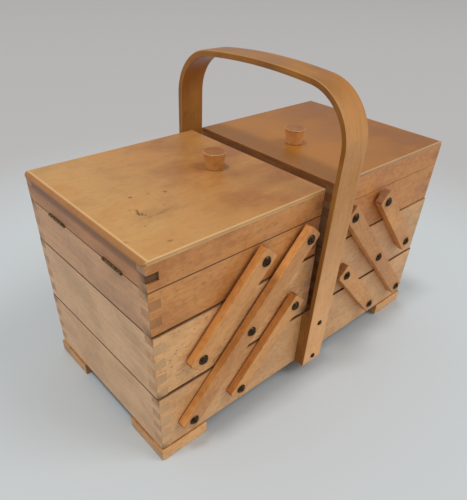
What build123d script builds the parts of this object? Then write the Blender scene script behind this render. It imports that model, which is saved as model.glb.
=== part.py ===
from build123d import *
from dataclasses import dataclass
import math
import os

# Cantilever sewing carrier: a bottom box on four feet, two middle trays and two top trays that
# swing out on wooden links, a hinged lid on each top tray and a bentwood carrying hoop.
# Millimetres. X runs along the carrier, -Y is the front, Z is up from the floor.
# The right half is modelled at +X, and the left half is its mirror image in the YZ plane.

# ---- box, trays and lids -------------------------------------------------------------------
box_length = 440.0          # outside length of the box, and of both halves together
halves_gap = 16.0           # slot between the left and the right trays
box_width = 218.0           # outside width of the bottom box
tier_inset = 1.5            # each tier stands in from the long faces of the one below it
board_thickness = 12.0      # every side and end board
box_height = 76.4
middle_height = 76.6
top_height = 46.2
rim_height = 25.0           # lid boards below the lid panel
tier_gap = 0.8              # stacked tiers stand this far apart
lid_gap = 0.4               # seam between lid and top tray
box_fingers = 8             # finger-joint rows at each corner
middle_fingers = 8
top_fingers = 5
rim_fingers = 3

# ---- bottom panels of the box and trays ----------------------------------------------------
panel_thickness = 4.0
panel_raise = 4.0           # panel underside above the lower edge of its tier
groove_depth = 5.0
groove_clearance = 0.1

# ---- lid panel and knob --------------------------------------------------------------------
lid_panel_thickness = 4.0
lid_panel_overhang = 1.8    # past the outer end board
lid_bevel = 5.0             # how far the bevel of the outer end runs back along the top
lid_lip = 0.6               # upright edge left under the bevel
lid_edge_radius = 1.2       # rounded long top edges
lid_corner_radius = 5.0     # the two outer corners, seen from above
knob_from_middle = 62.0
knob_base_radius = 9.8
knob_top_radius = 12.5
knob_height = 17.4
knob_edge_radius = 1.2
knob_screw_radius = 2.0
knob_screw_bite = 10.0
knob_screw_head_radius = 4.0
knob_screw_head_height = 2.2

# ---- feet ----------------------------------------------------------------------------------
foot_height = 16.0
foot_arm_length = 60.0
foot_arm_width = 18.0
foot_overhang = 2.0         # past the box faces

# ---- links and their pivots ----------------------------------------------------------------
box_pivot_height = 30.7     # lowest pivots above the lower edge of the box
top_pivot_height = 34.1     # highest pivots above the lower edge of the top tray
long_link_inset = 34.5      # lowest pivot of the long link from the outer end
long_link_top_inset = 28.5  # its highest pivot from the inner end
lower_link_inset = 100.0    # lower pivot of the lower short link from the outer end
upper_link_inset = 46.5     # lower pivot of the upper short link from the outer end
link_width = 20.0
link_thickness = 9.0
link_end = 11.5             # wood past the last pivot
link_corner_radius = 2.5
link_standoff = 1.0         # links clear the box sides by this much

# ---- pivot screws --------------------------------------------------------------------------
pivot_radius = 2.0
pivot_clearance = 0.08      # radial, link on screw
thread_clearance = 0.02     # radial, screw in board
collar_radius = 4.0
collar_clearance = 0.15
head_radius = 5.6
head_height = 3.2
head_clearance = 0.2
screw_bite = 9.5            # screw depth in its board

# ---- carrying hoop -------------------------------------------------------------------------
hoop_width = 33.0
hoop_thickness = 6.2
hoop_over_lids = 99.4       # crown above the lid panels
hoop_lean = 0.76            # degrees that both legs lean to the front
hoop_back_shift = 0.7       # the feet of the hoop stand this far behind the middle
hoop_crest_y = -11.5        # highest place of the crown
hoop_corner_radius = 50.0   # inside radius of the two shoulders
hoop_crown_radius = 715.0   # inside radius of the crown
spacer_thickness = 8.7      # mean of front and back, at the lower edge of the box
hoop_screw_heights = (10.0, 64.5)   # above the lower edge of the box
hoop_screw_radius = 1.75
hoop_screw_short = 0.5      # tips stop this far from the panel groove
hoop_screw_head_radius = 3.6
hoop_screw_head_height = 2.2

# ---- lid hinges ----------------------------------------------------------------------------
hinge_places = (-54.5, 46.0)        # centre of each hinge along Y
hinge_length = 30.0
leaf_width = 10.0
leaf_thickness = 1.2
barrel_radius = 1.6
barrel_out = 0.4            # barrel axis outside the end board
hinge_pin_radius = 0.7
hinge_pin_clearance = 0.05
hinge_clearance = 0.2       # round the barrel and between knuckles
mortise_clearance = 0.1

# ---- levels and faces worked out from the sizes ---------------------------------------------
end_x = box_length / 2
inner_x = halves_gap / 2
middle_width = box_width - 2 * tier_inset
top_width = middle_width - 2 * tier_inset
box_low = foot_height
box_high = box_low + box_height
middle_low = box_high + tier_gap
middle_high = middle_low + middle_height
top_low = middle_high + tier_gap
top_high = top_low + top_height
rim_low = top_high + lid_gap
rim_high = rim_low + rim_height
lid_high = rim_high + lid_panel_thickness
link_inner_y = box_width / 2 + link_standoff
link_outer_y = link_inner_y + link_thickness
pivot_low = box_low + box_pivot_height
# From one pivot of a link to the next: half the way from the box's pivots to the top tray's.
link_reach = (end_x - inner_x - long_link_inset - long_link_top_inset) / 2
link_rise = (top_low + top_pivot_height - pivot_low) / 2
pivot_middle = pivot_low + link_rise
pivot_high = pivot_middle + link_rise
long_x = end_x - long_link_inset
lower_x = end_x - lower_link_inset
upper_x = end_x - upper_link_inset
barrel_x = end_x + barrel_out
barrel_z = top_high + lid_gap / 2
hoop_base_y = box_width / 2 + spacer_thickness
hoop_top = lid_high + hoop_over_lids
hoop_screw_bite = board_thickness - groove_depth - hoop_screw_short
lean = math.radians(hoop_lean)


@dataclass(frozen=True)
class Tier:
    """One finger-jointed frame of four boards; the pivots are (x, z) places on its long faces."""

    x_low: float
    x_high: float
    width: float
    z_low: float
    z_high: float
    fingers: int
    pivots: tuple

    @property
    def face_y(self):
        return self.width / 2

    @property
    def inside_y(self):
        return self.width / 2 - board_thickness

    def rows(self, first):
        """Finger rows from the top down, every second one from the given row."""
        height = (self.z_high - self.z_low) / self.fingers
        for row in range(first, self.fingers, 2):
            top = self.z_high - row * height
            yield top - height, top


box_tier = Tier(-end_x, end_x, box_width, box_low, box_high, box_fingers, (
    (long_x, pivot_low), (lower_x, pivot_low), (-long_x, pivot_low), (-lower_x, pivot_low)))
middle_tier = Tier(inner_x, end_x, middle_width, middle_low, middle_high, middle_fingers, (
    (long_x - link_reach, pivot_middle), (lower_x - link_reach, pivot_middle), (upper_x, pivot_middle)))
top_tier = Tier(inner_x, end_x, top_width, top_low, top_high, top_fingers, (
    (long_x - 2 * link_reach, pivot_high), (upper_x - link_reach, pivot_high)))
rim_tier = Tier(inner_x, end_x, top_width, rim_low, rim_high, rim_fingers, ())


def block(x_range, y_range, z_range):
    """Box between the two limits given for each axis."""
    sizes = [high - low for low, high in (x_range, y_range, z_range)]
    middles = [(low + high) / 2 for low, high in (x_range, y_range, z_range)]
    return Pos(*middles) * Box(*sizes)


def rod(radius, x, z, y_from, y_to):
    """Cylinder along Y through the point (x, z)."""
    return Pos(x, (y_from + y_to) / 2, z) * Rot(90, 0, 0) * Cylinder(radius, abs(y_to - y_from))


def upright(radius, x, z_from, z_to):
    """Cylinder along Z on the middle plane."""
    return Pos(x, 0, (z_from + z_to) / 2) * Cylinder(radius, z_to - z_from)


def left_of(shape):
    """Mirror image on the left half."""
    return mirror(shape, about=Plane.YZ)


# ---- boards and panels ---------------------------------------------------------------------
def panel_block(tier, clearance):
    """Bottom panel of a tier, grown by a clearance to make its groove."""
    reach = board_thickness - groove_depth - clearance
    return block(
        (tier.x_low + reach, tier.x_high - reach),
        (-tier.face_y + reach, tier.face_y - reach),
        (tier.z_low + panel_raise - clearance, tier.z_low + panel_raise + panel_thickness + clearance),
    )


def side_board(tier, side):
    """Long board on the front (side -1) or back (side 1), with its fingers and screw holes."""
    y_range = sorted((side * tier.inside_y, side * tier.face_y))
    board = block((tier.x_low, tier.x_high), y_range, (tier.z_low, tier.z_high))
    for z_range in tier.rows(1):
        board -= block((tier.x_low, tier.x_low + board_thickness), y_range, z_range)
        board -= block((tier.x_high - board_thickness, tier.x_high), y_range, z_range)
    for x, z in tier.pivots:
        hole_bottom = side * (tier.face_y - screw_bite)
        board -= rod(pivot_radius + thread_clearance, x, z, hole_bottom, side * tier.face_y)
    return board


def end_board(tier, x_from):
    """End board whose lower-X face is at x_from, with the fingers that fill the side boards' gaps."""
    x_range = (x_from, x_from + board_thickness)
    board = block(x_range, (-tier.face_y, tier.face_y), (tier.z_low, tier.z_high))
    for z_range in tier.rows(0):
        board -= block(x_range, (-tier.face_y, -tier.inside_y), z_range)
        board -= block(x_range, (tier.inside_y, tier.face_y), z_range)
    return board


def grooved(board, tier):
    return board - panel_block(tier, groove_clearance)


def lid_panel():
    """Lid panel, bevelled and round-cornered at the outer end, with eased long edges."""
    tip_x = end_x + lid_panel_overhang
    outline = Polyline(
        (inner_x, rim_high), (tip_x, rim_high), (tip_x, rim_high + lid_lip),
        (tip_x - lid_bevel, lid_high), (inner_x, lid_high), close=True)
    along = extrude(Plane.XZ * make_face(outline), top_width / 2, both=True)
    across = Pos(0, rim_high + lid_panel_thickness / 2) * Rectangle(top_width, lid_panel_thickness)
    across = fillet(across.vertices().group_by(Axis.Y)[-1], lid_edge_radius)
    across = extrude(Plane.YZ * across, tip_x)
    plan = Pos((inner_x + tip_x) / 2, 0, rim_high) * Rectangle(tip_x - inner_x, top_width)
    plan = fillet(plan.vertices().group_by(Axis.X)[-1], lid_corner_radius)
    hole = upright(knob_screw_radius + pivot_clearance, knob_from_middle, rim_high, lid_high)
    return (along & across & extrude(plan, lid_panel_thickness)) - hole


def knob():
    """Turned knob, wider at the top, bored for its screw."""
    outline = Polyline(
        (0, lid_high), (knob_base_radius, lid_high),
        (knob_top_radius, lid_high + knob_height), (0, lid_high + knob_height), close=True)
    profile = make_face(outline)
    rim = profile.vertices().group_by(Axis.Y)[-1].sort_by(Axis.X)[-1]
    profile = fillet(rim, knob_edge_radius)
    body = Pos(knob_from_middle, 0, 0) * revolve(Plane.XZ * profile, Axis.Z)
    bore_top = lid_high + knob_screw_bite
    return body - upright(knob_screw_radius + thread_clearance, knob_from_middle, lid_high, bore_top)


def knob_screw():
    """Screw up through the lid panel into the knob."""
    shank = upright(knob_screw_radius, knob_from_middle, rim_high, lid_high + knob_screw_bite)
    head_low = rim_high - knob_screw_head_height
    return shank + upright(knob_screw_head_radius, knob_from_middle, head_low, rim_high)


# ---- feet ----------------------------------------------------------------------------------
def corner_feet():
    """Four L-shaped feet under the corners of the box."""
    x_out = end_x + foot_overhang
    y_out = box_width / 2 + foot_overhang
    foot = block((x_out - foot_arm_length, x_out), (y_out - foot_arm_width, y_out), (0, foot_height))
    foot += block((x_out - foot_arm_width, x_out), (y_out - foot_arm_length, y_out), (0, foot_height))
    right = [foot, mirror(foot, about=Plane.XZ)]
    return Compound(children=right + [left_of(each) for each in right])


# ---- links and screws ----------------------------------------------------------------------
def link(x, z, spans, side):
    """Wooden link up and inward from its lower pivot, drilled at each of its pivots."""
    spacing = math.hypot(link_reach, link_rise)
    length = spans * spacing
    outline = Pos(length / 2, 0) * Rectangle(length + 2 * link_end, link_width)
    outline = fillet(outline.vertices(), link_corner_radius)
    for pivot in range(spans + 1):
        outline -= Pos(pivot * spacing, 0) * Circle(pivot_radius + pivot_clearance)
    direction = Vector(-link_reach, 0, link_rise)
    plane = Plane(origin=(x, side * link_inner_y, z), x_dir=direction, z_dir=(0, side, 0))
    return extrude(plane * outline, link_thickness)


def link_pair(x, z, spans):
    """The same link on the front and on the back."""
    return Compound(children=[link(x, z, spans, side) for side in (-1, 1)])


def domed_head(radius, height, x, z, y_base, side):
    """Shallow dome that stands outward on the plane y_base."""
    sphere_radius = (radius ** 2 + height ** 2) / (2 * height)
    rise = math.degrees(math.asin((sphere_radius - height) / sphere_radius))
    arc = CenterArc((0, height - sphere_radius), sphere_radius, rise, 90 - rise)
    profile = make_face([Line((0, 0), arc @ 0), arc, Line(arc @ 1, (0, 0))])
    dome = Pos(x, y_base, z) * revolve(profile, Axis.Y)
    return dome if side > 0 else mirror(dome, about=Plane.XZ)


def pivot_screw(tier, x, z, side):
    """Shoulder screw that a link turns on: collar on the board, shank through the link, dome."""
    head_y = link_outer_y + head_clearance
    screw = rod(pivot_radius, x, z, side * (tier.face_y - screw_bite), side * head_y)
    screw += rod(collar_radius, x, z, side * tier.face_y, side * (link_inner_y - collar_clearance))
    return screw + domed_head(head_radius, head_height, x, z, head_y, side)


def pivot_screws(tier):
    return Compound(children=[pivot_screw(tier, x, z, side) for x, z in tier.pivots for side in (-1, 1)])


# ---- carrying hoop -------------------------------------------------------------------------
def leg_y(z, side):
    """Inner face of the front (side -1) or back (side 1) leg at the height z."""
    return hoop_back_shift + side * hoop_base_y - math.tan(lean) * (z - box_low)


def hoop_window():
    """Space inside the hoop in (y, z): two parallel legs, a shallow crown and round shoulders."""
    crown = Pos(hoop_crest_y, hoop_top - hoop_thickness - hoop_crown_radius) * Circle(hoop_crown_radius)
    legs = Polyline(
        (leg_y(0, -1), 0), (leg_y(hoop_top, -1), hoop_top),
        (leg_y(hoop_top, 1), hoop_top), (leg_y(0, 1), 0), close=True)
    window = make_face(legs) & crown
    return fillet(window.vertices().sort_by(Axis.Y)[-2:], hoop_corner_radius)


def hoop_screw_holes(radius):
    """Holes along Y through both legs, the spacers and into the box."""
    holes = []
    for height in hoop_screw_heights:
        for side in (-1, 1):
            y_deep = side * (box_width / 2 - hoop_screw_bite)
            holes.append(rod(radius, 0, box_low + height, y_deep, side * (link_outer_y + hoop_width)))
    return holes


def handle_hoop():
    """Bent strip from the lower edge of the front face over the lids to the back."""
    window = hoop_window()
    above = Pos(0, box_low + hoop_top / 2) * Rectangle(2 * box_width, hoop_top)
    strip = (offset(window, hoop_thickness) - window) & above
    hoop = extrude(Plane.YZ * strip, hoop_width / 2, both=True)
    for hole in hoop_screw_holes(hoop_screw_radius + pivot_clearance):
        hoop -= hole
    return hoop


def handle_spacer(side):
    """Wedge between the box face and a leg, as high as the box."""
    face_y = side * box_width / 2
    outline = Polyline(
        (face_y, box_low), (leg_y(box_low, side), box_low),
        (leg_y(box_high, side), box_high), (face_y, box_high), close=True)
    spacer = extrude(Plane.YZ * make_face(outline), hoop_width / 2, both=True)
    for hole in hoop_screw_holes(hoop_screw_radius + pivot_clearance):
        spacer -= hole
    return spacer


def handle_screw(height, side):
    """Domed wood screw through a leg and its spacer into the box."""
    z = box_low + height
    proud = max(side * leg_y(z + edge * hoop_screw_head_radius, side) for edge in (-1, 1))
    seat = proud + hoop_thickness / math.cos(lean)
    screw = rod(hoop_screw_radius, 0, z, side * (box_width / 2 - hoop_screw_bite), side * seat)
    return screw + domed_head(hoop_screw_head_radius, hoop_screw_head_height, 0, z, seat, side)


# ---- lid hinges ----------------------------------------------------------------------------
def knuckle_ranges(y, centre):
    """Y ranges of the middle knuckle, or of the two outer ones."""
    third = hinge_length / 3
    if centre:
        return [(y - third / 2 + hinge_clearance / 2, y + third / 2 - hinge_clearance / 2)]
    return [(y - 1.5 * third, y - third / 2 - hinge_clearance / 2),
            (y + third / 2 + hinge_clearance / 2, y + 1.5 * third)]


def hinge_leaf(y, z_range, centre):
    """Leaf let into the seam, with its share of the knuckles, bored for the pin."""
    leaf = block((end_x - leaf_width, barrel_x), (y - hinge_length / 2, y + hinge_length / 2), z_range)
    relief = barrel_radius + hinge_clearance
    for low, high in knuckle_ranges(y, not centre):
        leaf -= block((barrel_x - relief, barrel_x + relief), (low - hinge_clearance, high + hinge_clearance),
                      (barrel_z - relief, barrel_z + relief))
    for low, high in knuckle_ranges(y, centre):
        leaf += rod(barrel_radius, barrel_x, barrel_z, low, high)
    bore = hinge_pin_radius + hinge_pin_clearance
    return leaf - rod(bore, barrel_x, barrel_z, y - hinge_length / 2, y + hinge_length / 2)


def hinge_leaves(z_range, centre):
    return Compound(children=[hinge_leaf(y, z_range, centre) for y in hinge_places])


def hinge_pins():
    half = hinge_length / 2
    return Compound(children=[rod(hinge_pin_radius, barrel_x, barrel_z, y - half, y + half)
                              for y in hinge_places])


def mortised(board, z_range):
    """Cut the leaf mortises and the barrel recesses that open onto the seam."""
    half = hinge_length / 2 + mortise_clearance
    relief = barrel_radius + hinge_clearance
    for y in hinge_places:
        board -= block((end_x - leaf_width - mortise_clearance, end_x), (y - half, y + half), z_range)
        board -= block((barrel_x - relief, end_x), (y - half, y + half),
                       (barrel_z - relief, barrel_z + relief))
    return board


# ---- the named pieces ----------------------------------------------------------------------
def box_nodes():
    """Bottom box with its feet, hoop and screws: everything that stands still."""
    front, back = (side_board(box_tier, side) for side in (-1, 1))
    for hole in hoop_screw_holes(hoop_screw_radius + thread_clearance):
        front -= hole
        back -= hole
    return {
        "box_front_board": grooved(front, box_tier),
        "box_back_board": grooved(back, box_tier),
        "box_left_end_board": grooved(end_board(box_tier, -end_x), box_tier),
        "box_right_end_board": grooved(end_board(box_tier, end_x - board_thickness), box_tier),
        "box_bottom_panel": panel_block(box_tier, 0),
        "box_pivot_screws": pivot_screws(box_tier),
        "corner_feet": corner_feet(),
        "handle_hoop": handle_hoop(),
        "handle_spacer_blocks": Compound(children=[handle_spacer(side) for side in (-1, 1)]),
        "handle_screws": Compound(children=[
            handle_screw(height, side) for height in hoop_screw_heights for side in (-1, 1)]),
    }


def frame_nodes(tier, prefix):
    """Four boards of a half-length tier."""
    return {
        f"{prefix}_front_board": side_board(tier, -1),
        f"{prefix}_back_board": side_board(tier, 1),
        f"{prefix}_outer_end_board": end_board(tier, tier.x_high - board_thickness),
        f"{prefix}_inner_end_board": end_board(tier, tier.x_low),
    }


def tray_nodes(tier, prefix):
    """Tray: four grooved boards, bottom panel and the screws that its links turn on."""
    nodes = {name: grooved(board, tier) for name, board in frame_nodes(tier, prefix).items()}
    nodes[f"{prefix}_bottom_panel"] = panel_block(tier, 0)
    nodes[f"{prefix}_pivot_screws"] = pivot_screws(tier)
    return nodes


def top_tray_nodes(prefix):
    leaf_range = (top_high - leaf_thickness, top_high)
    nodes = tray_nodes(top_tier, prefix)
    nodes[f"{prefix}_outer_end_board"] = mortised(nodes[f"{prefix}_outer_end_board"], leaf_range)
    nodes[f"{prefix}_hinge_leaves"] = hinge_leaves(leaf_range, centre=False)
    nodes[f"{prefix}_hinge_pins"] = hinge_pins()
    return nodes


def lid_nodes(prefix):
    leaf_range = (rim_low, rim_low + leaf_thickness)
    nodes = frame_nodes(rim_tier, prefix)
    nodes[f"{prefix}_outer_end_board"] = mortised(nodes[f"{prefix}_outer_end_board"], leaf_range)
    nodes[f"{prefix}_panel"] = lid_panel()
    nodes[f"{prefix}_knob"] = knob()
    nodes[f"{prefix}_knob_screw"] = knob_screw()
    nodes[f"{prefix}_hinge_leaves"] = hinge_leaves(leaf_range, centre=True)
    return nodes


def half_nodes(side_name):
    """Every moving piece of one half, named for its side but placed on the right."""
    nodes = tray_nodes(middle_tier, f"middle_tray_{side_name}")
    nodes.update(top_tray_nodes(f"top_tray_{side_name}"))
    nodes.update(lid_nodes(f"lid_{side_name}"))
    nodes[f"long_links_{side_name}"] = link_pair(long_x, pivot_low, 2)
    nodes[f"lower_short_links_{side_name}"] = link_pair(lower_x, pivot_low, 1)
    nodes[f"upper_short_links_{side_name}"] = link_pair(upper_x, pivot_middle, 1)
    return nodes


def all_nodes():
    nodes = box_nodes()
    nodes.update(half_nodes("right"))
    nodes.update({name: left_of(shape) for name, shape in half_nodes("left").items()})
    return nodes


os.makedirs("parts", exist_ok=True)
for node_name, node_shape in all_nodes().items():
    export_step(node_shape, f"parts/{node_name}.step")
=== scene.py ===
"""Looks of a cantilever sewing carrier.

A finger-jointed beech box on four corner feet carries two halves of two trays each, which swing out
on wooden links. Each top tray has a hinged lid with a turned knob, and a bentwood hoop is the
carrying handle. Lengths are metres; X runs along the carrier, -Y is its front and Z is up.
"""

import logging
import math
import zlib
from dataclasses import dataclass, replace
from enum import Enum, IntEnum
from typing import Optional, Sequence, Union

import bmesh
import bpy
import numpy as np
from mathutils import Matrix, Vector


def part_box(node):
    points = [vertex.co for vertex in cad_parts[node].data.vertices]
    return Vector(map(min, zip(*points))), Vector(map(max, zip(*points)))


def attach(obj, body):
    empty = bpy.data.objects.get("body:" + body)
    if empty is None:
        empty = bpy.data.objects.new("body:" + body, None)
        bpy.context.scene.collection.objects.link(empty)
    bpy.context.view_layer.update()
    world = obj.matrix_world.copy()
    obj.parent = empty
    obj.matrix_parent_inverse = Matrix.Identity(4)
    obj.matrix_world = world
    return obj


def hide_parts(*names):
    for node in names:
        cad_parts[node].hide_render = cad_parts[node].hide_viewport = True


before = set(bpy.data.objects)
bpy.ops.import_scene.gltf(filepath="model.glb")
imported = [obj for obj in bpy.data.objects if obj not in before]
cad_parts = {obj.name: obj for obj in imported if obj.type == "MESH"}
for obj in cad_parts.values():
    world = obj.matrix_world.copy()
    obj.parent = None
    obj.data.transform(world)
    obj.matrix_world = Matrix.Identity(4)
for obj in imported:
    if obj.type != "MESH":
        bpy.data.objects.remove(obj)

MM = 0.001
NEAR = 0.02 * MM
SHARP_ANGLE = math.radians(50)
SIDES = {"left": -1, "right": 1}
log = logging.getLogger("sewing_carrier")

Array = np.ndarray
Material = bpy.types.Material
Socket = bpy.types.NodeSocket


def linear(colour: str) -> tuple[float, float, float, float]:
    """Turn an sRGB hex colour into the linear colour that a shader takes.

    Args:
        colour: Six hex digits after a hash sign.

    Returns:
        Red, green, blue and an alpha of 1.
    """
    srgb = np.array([int(colour[i:i + 2], 16) for i in (1, 3, 5)]) / 255
    light = np.where(srgb <= 0.04045, srgb / 12.92, ((srgb + 0.055) / 1.055) ** 2.4)
    return (*light.tolist(), 1.0)


# ---- surfaces as whole arrays ----------------------------------------------------------------
def read(items: bpy.types.bpy_prop_collection, name: str, per_item: int = 1,
         kind: type = np.int32) -> Array:
    """Read one property of every item of a mesh as a flat array.

    Args:
        items: Vertices, edges, loops or polygons.
        name: Blender's name of the property.
        per_item: Numbers that each item holds.
        kind: Type of a number.

    Returns:
        The numbers.
    """
    values = np.empty(per_item * len(items), kind)
    items.foreach_get(name, values)
    return values


class Cut(IntEnum):
    """Which way a face of a wooden piece was cut; also its material's place on the piece."""

    FACE = 0
    EDGE = 1
    END = 2


# Where a piece may lie in its log: along it, across it, and outwards from its heart.
LOG_SPANS = ((0, 4), (-0.05, 0.05), (0.05, 0.11))
# A face is end grain once its normal has this share along the fibres.
END_LEAN = 0.3


@dataclass(frozen=True)
class Solid:
    """A closed surface held as whole arrays.

    The corner list holds the point numbers of each face in turn, and counts says how many belong
    to each. Cuts gives the material of each face, and grain is where each point lies in the log
    that the piece was sawn from: along the fibres, across them, and through the board.
    """

    points: Array
    corners: Array
    counts: Array
    cuts: Array
    grain: Array

    @classmethod
    def bare(cls, points: Array, corners: Array, counts: Array) -> "Solid":
        """Make a solid that has no cuts and no grain yet, its faces turned outward."""
        return cls(points, corners, counts, np.zeros(len(counts), int), points.copy()).outward()

    @classmethod
    def of(cls, points: Array, faces: Sequence[Array]) -> "Solid":
        """Make a bare solid from points and one array of faces for each number of corners.

        Args:
            points: Corner points.
            faces: Point numbers, one row for each face.

        Returns:
            The solid.
        """
        rows = [np.atleast_2d(face) for face in faces]
        return cls.bare(points, np.concatenate([row.ravel() for row in rows]),
                        np.concatenate([np.full(len(row), row.shape[1]) for row in rows]))

    @classmethod
    def joined(cls, solids: Sequence["Solid"]) -> "Solid":
        """Put several solids into one set of arrays.

        Args:
            solids: The solids, in order.

        Returns:
            One solid.
        """
        shifts = np.cumsum([0] + [len(one.points) for one in solids[:-1]])
        corners = np.concatenate([one.corners + shift for one, shift in zip(solids, shifts)])
        return cls(corners=corners, **{
            name: np.concatenate([getattr(one, name) for one in solids])
            for name in ("points", "counts", "cuts", "grain")})

    @property
    def starts(self) -> Array:
        """Place in the corner list where each face starts."""
        return np.cumsum(self.counts) - self.counts

    def normals(self) -> Array:
        """Face normals with length twice the area: the sum of p_i x p_(i+1) round each face.

        Returns:
            One row for each face.
        """
        ahead = np.arange(len(self.corners)) + 1
        ahead[self.starts + self.counts - 1] = self.starts
        here = self.points[self.corners]
        return np.add.reduceat(np.cross(here, here[ahead]), self.starts, axis=0)

    def outward(self) -> "Solid":
        """Turn every face round if the enclosed volume, a sum over the faces, is negative.

        Returns:
            The solid with its faces outward.
        """
        volume = np.einsum("ij,ij->", self.points[self.corners[self.starts]], self.normals())
        if volume >= 0:
            return self
        spot = np.arange(len(self.corners)) - np.repeat(self.starts, self.counts)
        order = np.repeat(self.starts + self.counts - 1, self.counts) - spot
        return replace(self, corners=self.corners[order])

    def moved(self, axes: Array, origin: Sequence[float]) -> "Solid":
        """Place the solid: its own three directions become the rows of axes, from origin."""
        return replace(self, points=self.points @ np.asarray(axes) + np.asarray(origin)).outward()

    def cut_from(self, name: str, along: Sequence[float], through: Sequence[float]) -> "Solid":
        """Give every point its place in a log of its own, and every face its cut.

        Each piece starts at its own distance from the heart of the log, drawn from its name.

        Args:
            name: Name of the piece, which fixes the draw.
            along: Direction of the fibres.
            through: Direction through the thickness of the board.

        Returns:
            The solid with its grain and its cuts filled in.
        """
        draw = np.random.default_rng(zlib.crc32(name.encode()))
        fibre = np.asarray(along, float) / np.linalg.norm(along)
        depth = np.asarray(through, float) / np.linalg.norm(through)
        axes = np.stack([fibre, np.cross(depth, fibre), depth])
        heart = np.array([draw.uniform(*span) for span in LOG_SPANS])
        middle = (self.points.min(0) + self.points.max(0)) / 2
        facing = np.abs(self.normals() @ axes.T)
        cuts = np.where(facing[:, 0] > END_LEAN * np.linalg.norm(facing, axis=1), Cut.END,
                        Cut.EDGE - facing[:, 1:].argmax(1))
        return replace(self, grain=(self.points - middle) @ axes.T + heart, cuts=cuts)

    def plain_mesh(self, name: str) -> bpy.types.Mesh:
        """Make a mesh of the points and the faces alone.

        Args:
            name: Name of the mesh.

        Returns:
            The mesh.
        """
        made = bpy.data.meshes.new(name)
        faces = np.split(self.corners, self.starts[1:])
        made.from_pydata(self.points.tolist(), [], [face.tolist() for face in faces])
        return made

    def mesh(self, name: str) -> bpy.types.Mesh:
        """Make a smooth mesh with its cuts, and the grain as a point attribute.

        Args:
            name: Name of the mesh.

        Returns:
            The mesh.
        """
        made = self.plain_mesh(name)
        made.polygons.foreach_set("material_index", self.cuts.astype(np.int32))
        made.polygons.foreach_set("use_smooth", np.ones(len(self.counts), bool))
        grain = made.attributes.new("grain", "FLOAT_VECTOR", "POINT")
        grain.data.foreach_set("vector", self.grain.astype(np.float32).ravel())
        return made

    def reworked(self, edges_of: Optional[Array] = None, width: float = 0.0,
                 segments: int = 3) -> "Solid":
        """Merge double points, then round some edges.

        Args:
            edges_of: One row per point and one column per outer plane, true where the point lies
                on the plane. An edge is rounded where both its ends share two planes.
            width: How far the rounding reaches from the edge.
            segments: Facets of the rounding.

        Returns:
            The new solid, without grain or cuts.
        """
        made = self.plain_mesh("work")
        work = bmesh.new()
        work.from_mesh(made)
        if edges_of is not None:
            ends = read(made.edges, "vertices", 2)
            shared = edges_of[ends[0::2]] & edges_of[ends[1::2]]
            work.edges.ensure_lookup_table()
            rounded = [work.edges[i] for i in np.flatnonzero(shared.sum(1) >= 2)]
            bmesh.ops.bevel(work, geom=rounded, offset=width, offset_type="OFFSET",
                            segments=segments, profile=0.5, affect="EDGES", clamp_overlap=True)
        bmesh.ops.remove_doubles(work, verts=work.verts, dist=0.1 * NEAR)
        bmesh.ops.dissolve_degenerate(work, dist=0.1 * NEAR, edges=work.edges)
        work.to_mesh(made)
        work.free()
        points = read(made.vertices, "co", 3, float).reshape(-1, 3)
        solid = Solid.bare(points, read(made.loops, "vertex_index"),
                           read(made.polygons, "loop_total"))
        bpy.data.meshes.remove(made)
        return solid


def loft(loops: Array) -> Solid:
    """Skin a row of closed loops, with a flat face at each end.

    The surface is loops[i, j]: i counts the loops along the path, and j the points round each one.

    Args:
        loops: Points of every loop.

    Returns:
        The closed solid.
    """
    rows, around = loops.shape[:2]
    here = np.arange(rows * around).reshape(rows, around)
    ahead = np.roll(here, -1, axis=1)
    sides = np.stack([here[:-1], ahead[:-1], ahead[1:], here[1:]], axis=-1).reshape(-1, 4)
    return Solid.of(loops.reshape(-1, 3), [sides, here[0][::-1], here[-1]])


def sheet_solid(x: Array, y: Array, high: Array, low: Array) -> Solid:
    """Close the space between two heights, high(x, y) and low(x, y), over one grid.

    Args:
        x: First coordinate at each grid point.
        y: Second coordinate at each grid point.
        high: Upper height there.
        low: Lower height there.

    Returns:
        The solid between them, with walls round the border of the grid.
    """
    rows, columns = x.shape
    upper = np.arange(rows * columns).reshape(rows, columns)
    quads = np.stack([upper[:-1, :-1], upper[1:, :-1], upper[1:, 1:], upper[:-1, 1:]], axis=-1)
    quads = quads.reshape(-1, 4)
    border = np.concatenate([upper[:-1, 0], upper[-1, :-1], upper[:0:-1, -1], upper[0, :0:-1]])
    beside = np.roll(border, -1)
    below = rows * columns
    walls = np.stack([border, border + below, beside + below, beside], axis=-1)
    points = np.stack([np.tile(x.ravel(), 2), np.tile(y.ravel(), 2),
                       np.concatenate([high.ravel(), low.ravel()])], axis=-1)
    return Solid.of(points, [quads, quads[:, ::-1] + below, walls])


def circle(around: int) -> Array:
    """Points round the level circle of radius 1."""
    angle = np.linspace(0, 2 * np.pi, around, endpoint=False)
    return np.stack([np.cos(angle), np.sin(angle), np.zeros(around)], axis=-1)


def lathe(radii: Sequence[float], heights: Sequence[float], around: int = 64) -> Solid:
    """Turn a profile of radii and heights round the third axis.

    Args:
        radii: Radius at each place of the profile.
        heights: Height there.
        around: Points round each circle.

    Returns:
        The turned solid.
    """
    loops = np.asarray(radii)[:, None, None] * circle(around)
    loops[..., 2] = np.asarray(heights)[:, None]
    return loft(loops)


def quarter(radius: float, steps: int = 5) -> tuple[Array, Array]:
    """Give a quarter circle as two distances, from (radius, 0) to (0, radius)."""
    angle = np.linspace(0, np.pi / 2, steps)
    return radius * (1 - np.sin(angle)), radius * (1 - np.cos(angle))


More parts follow.
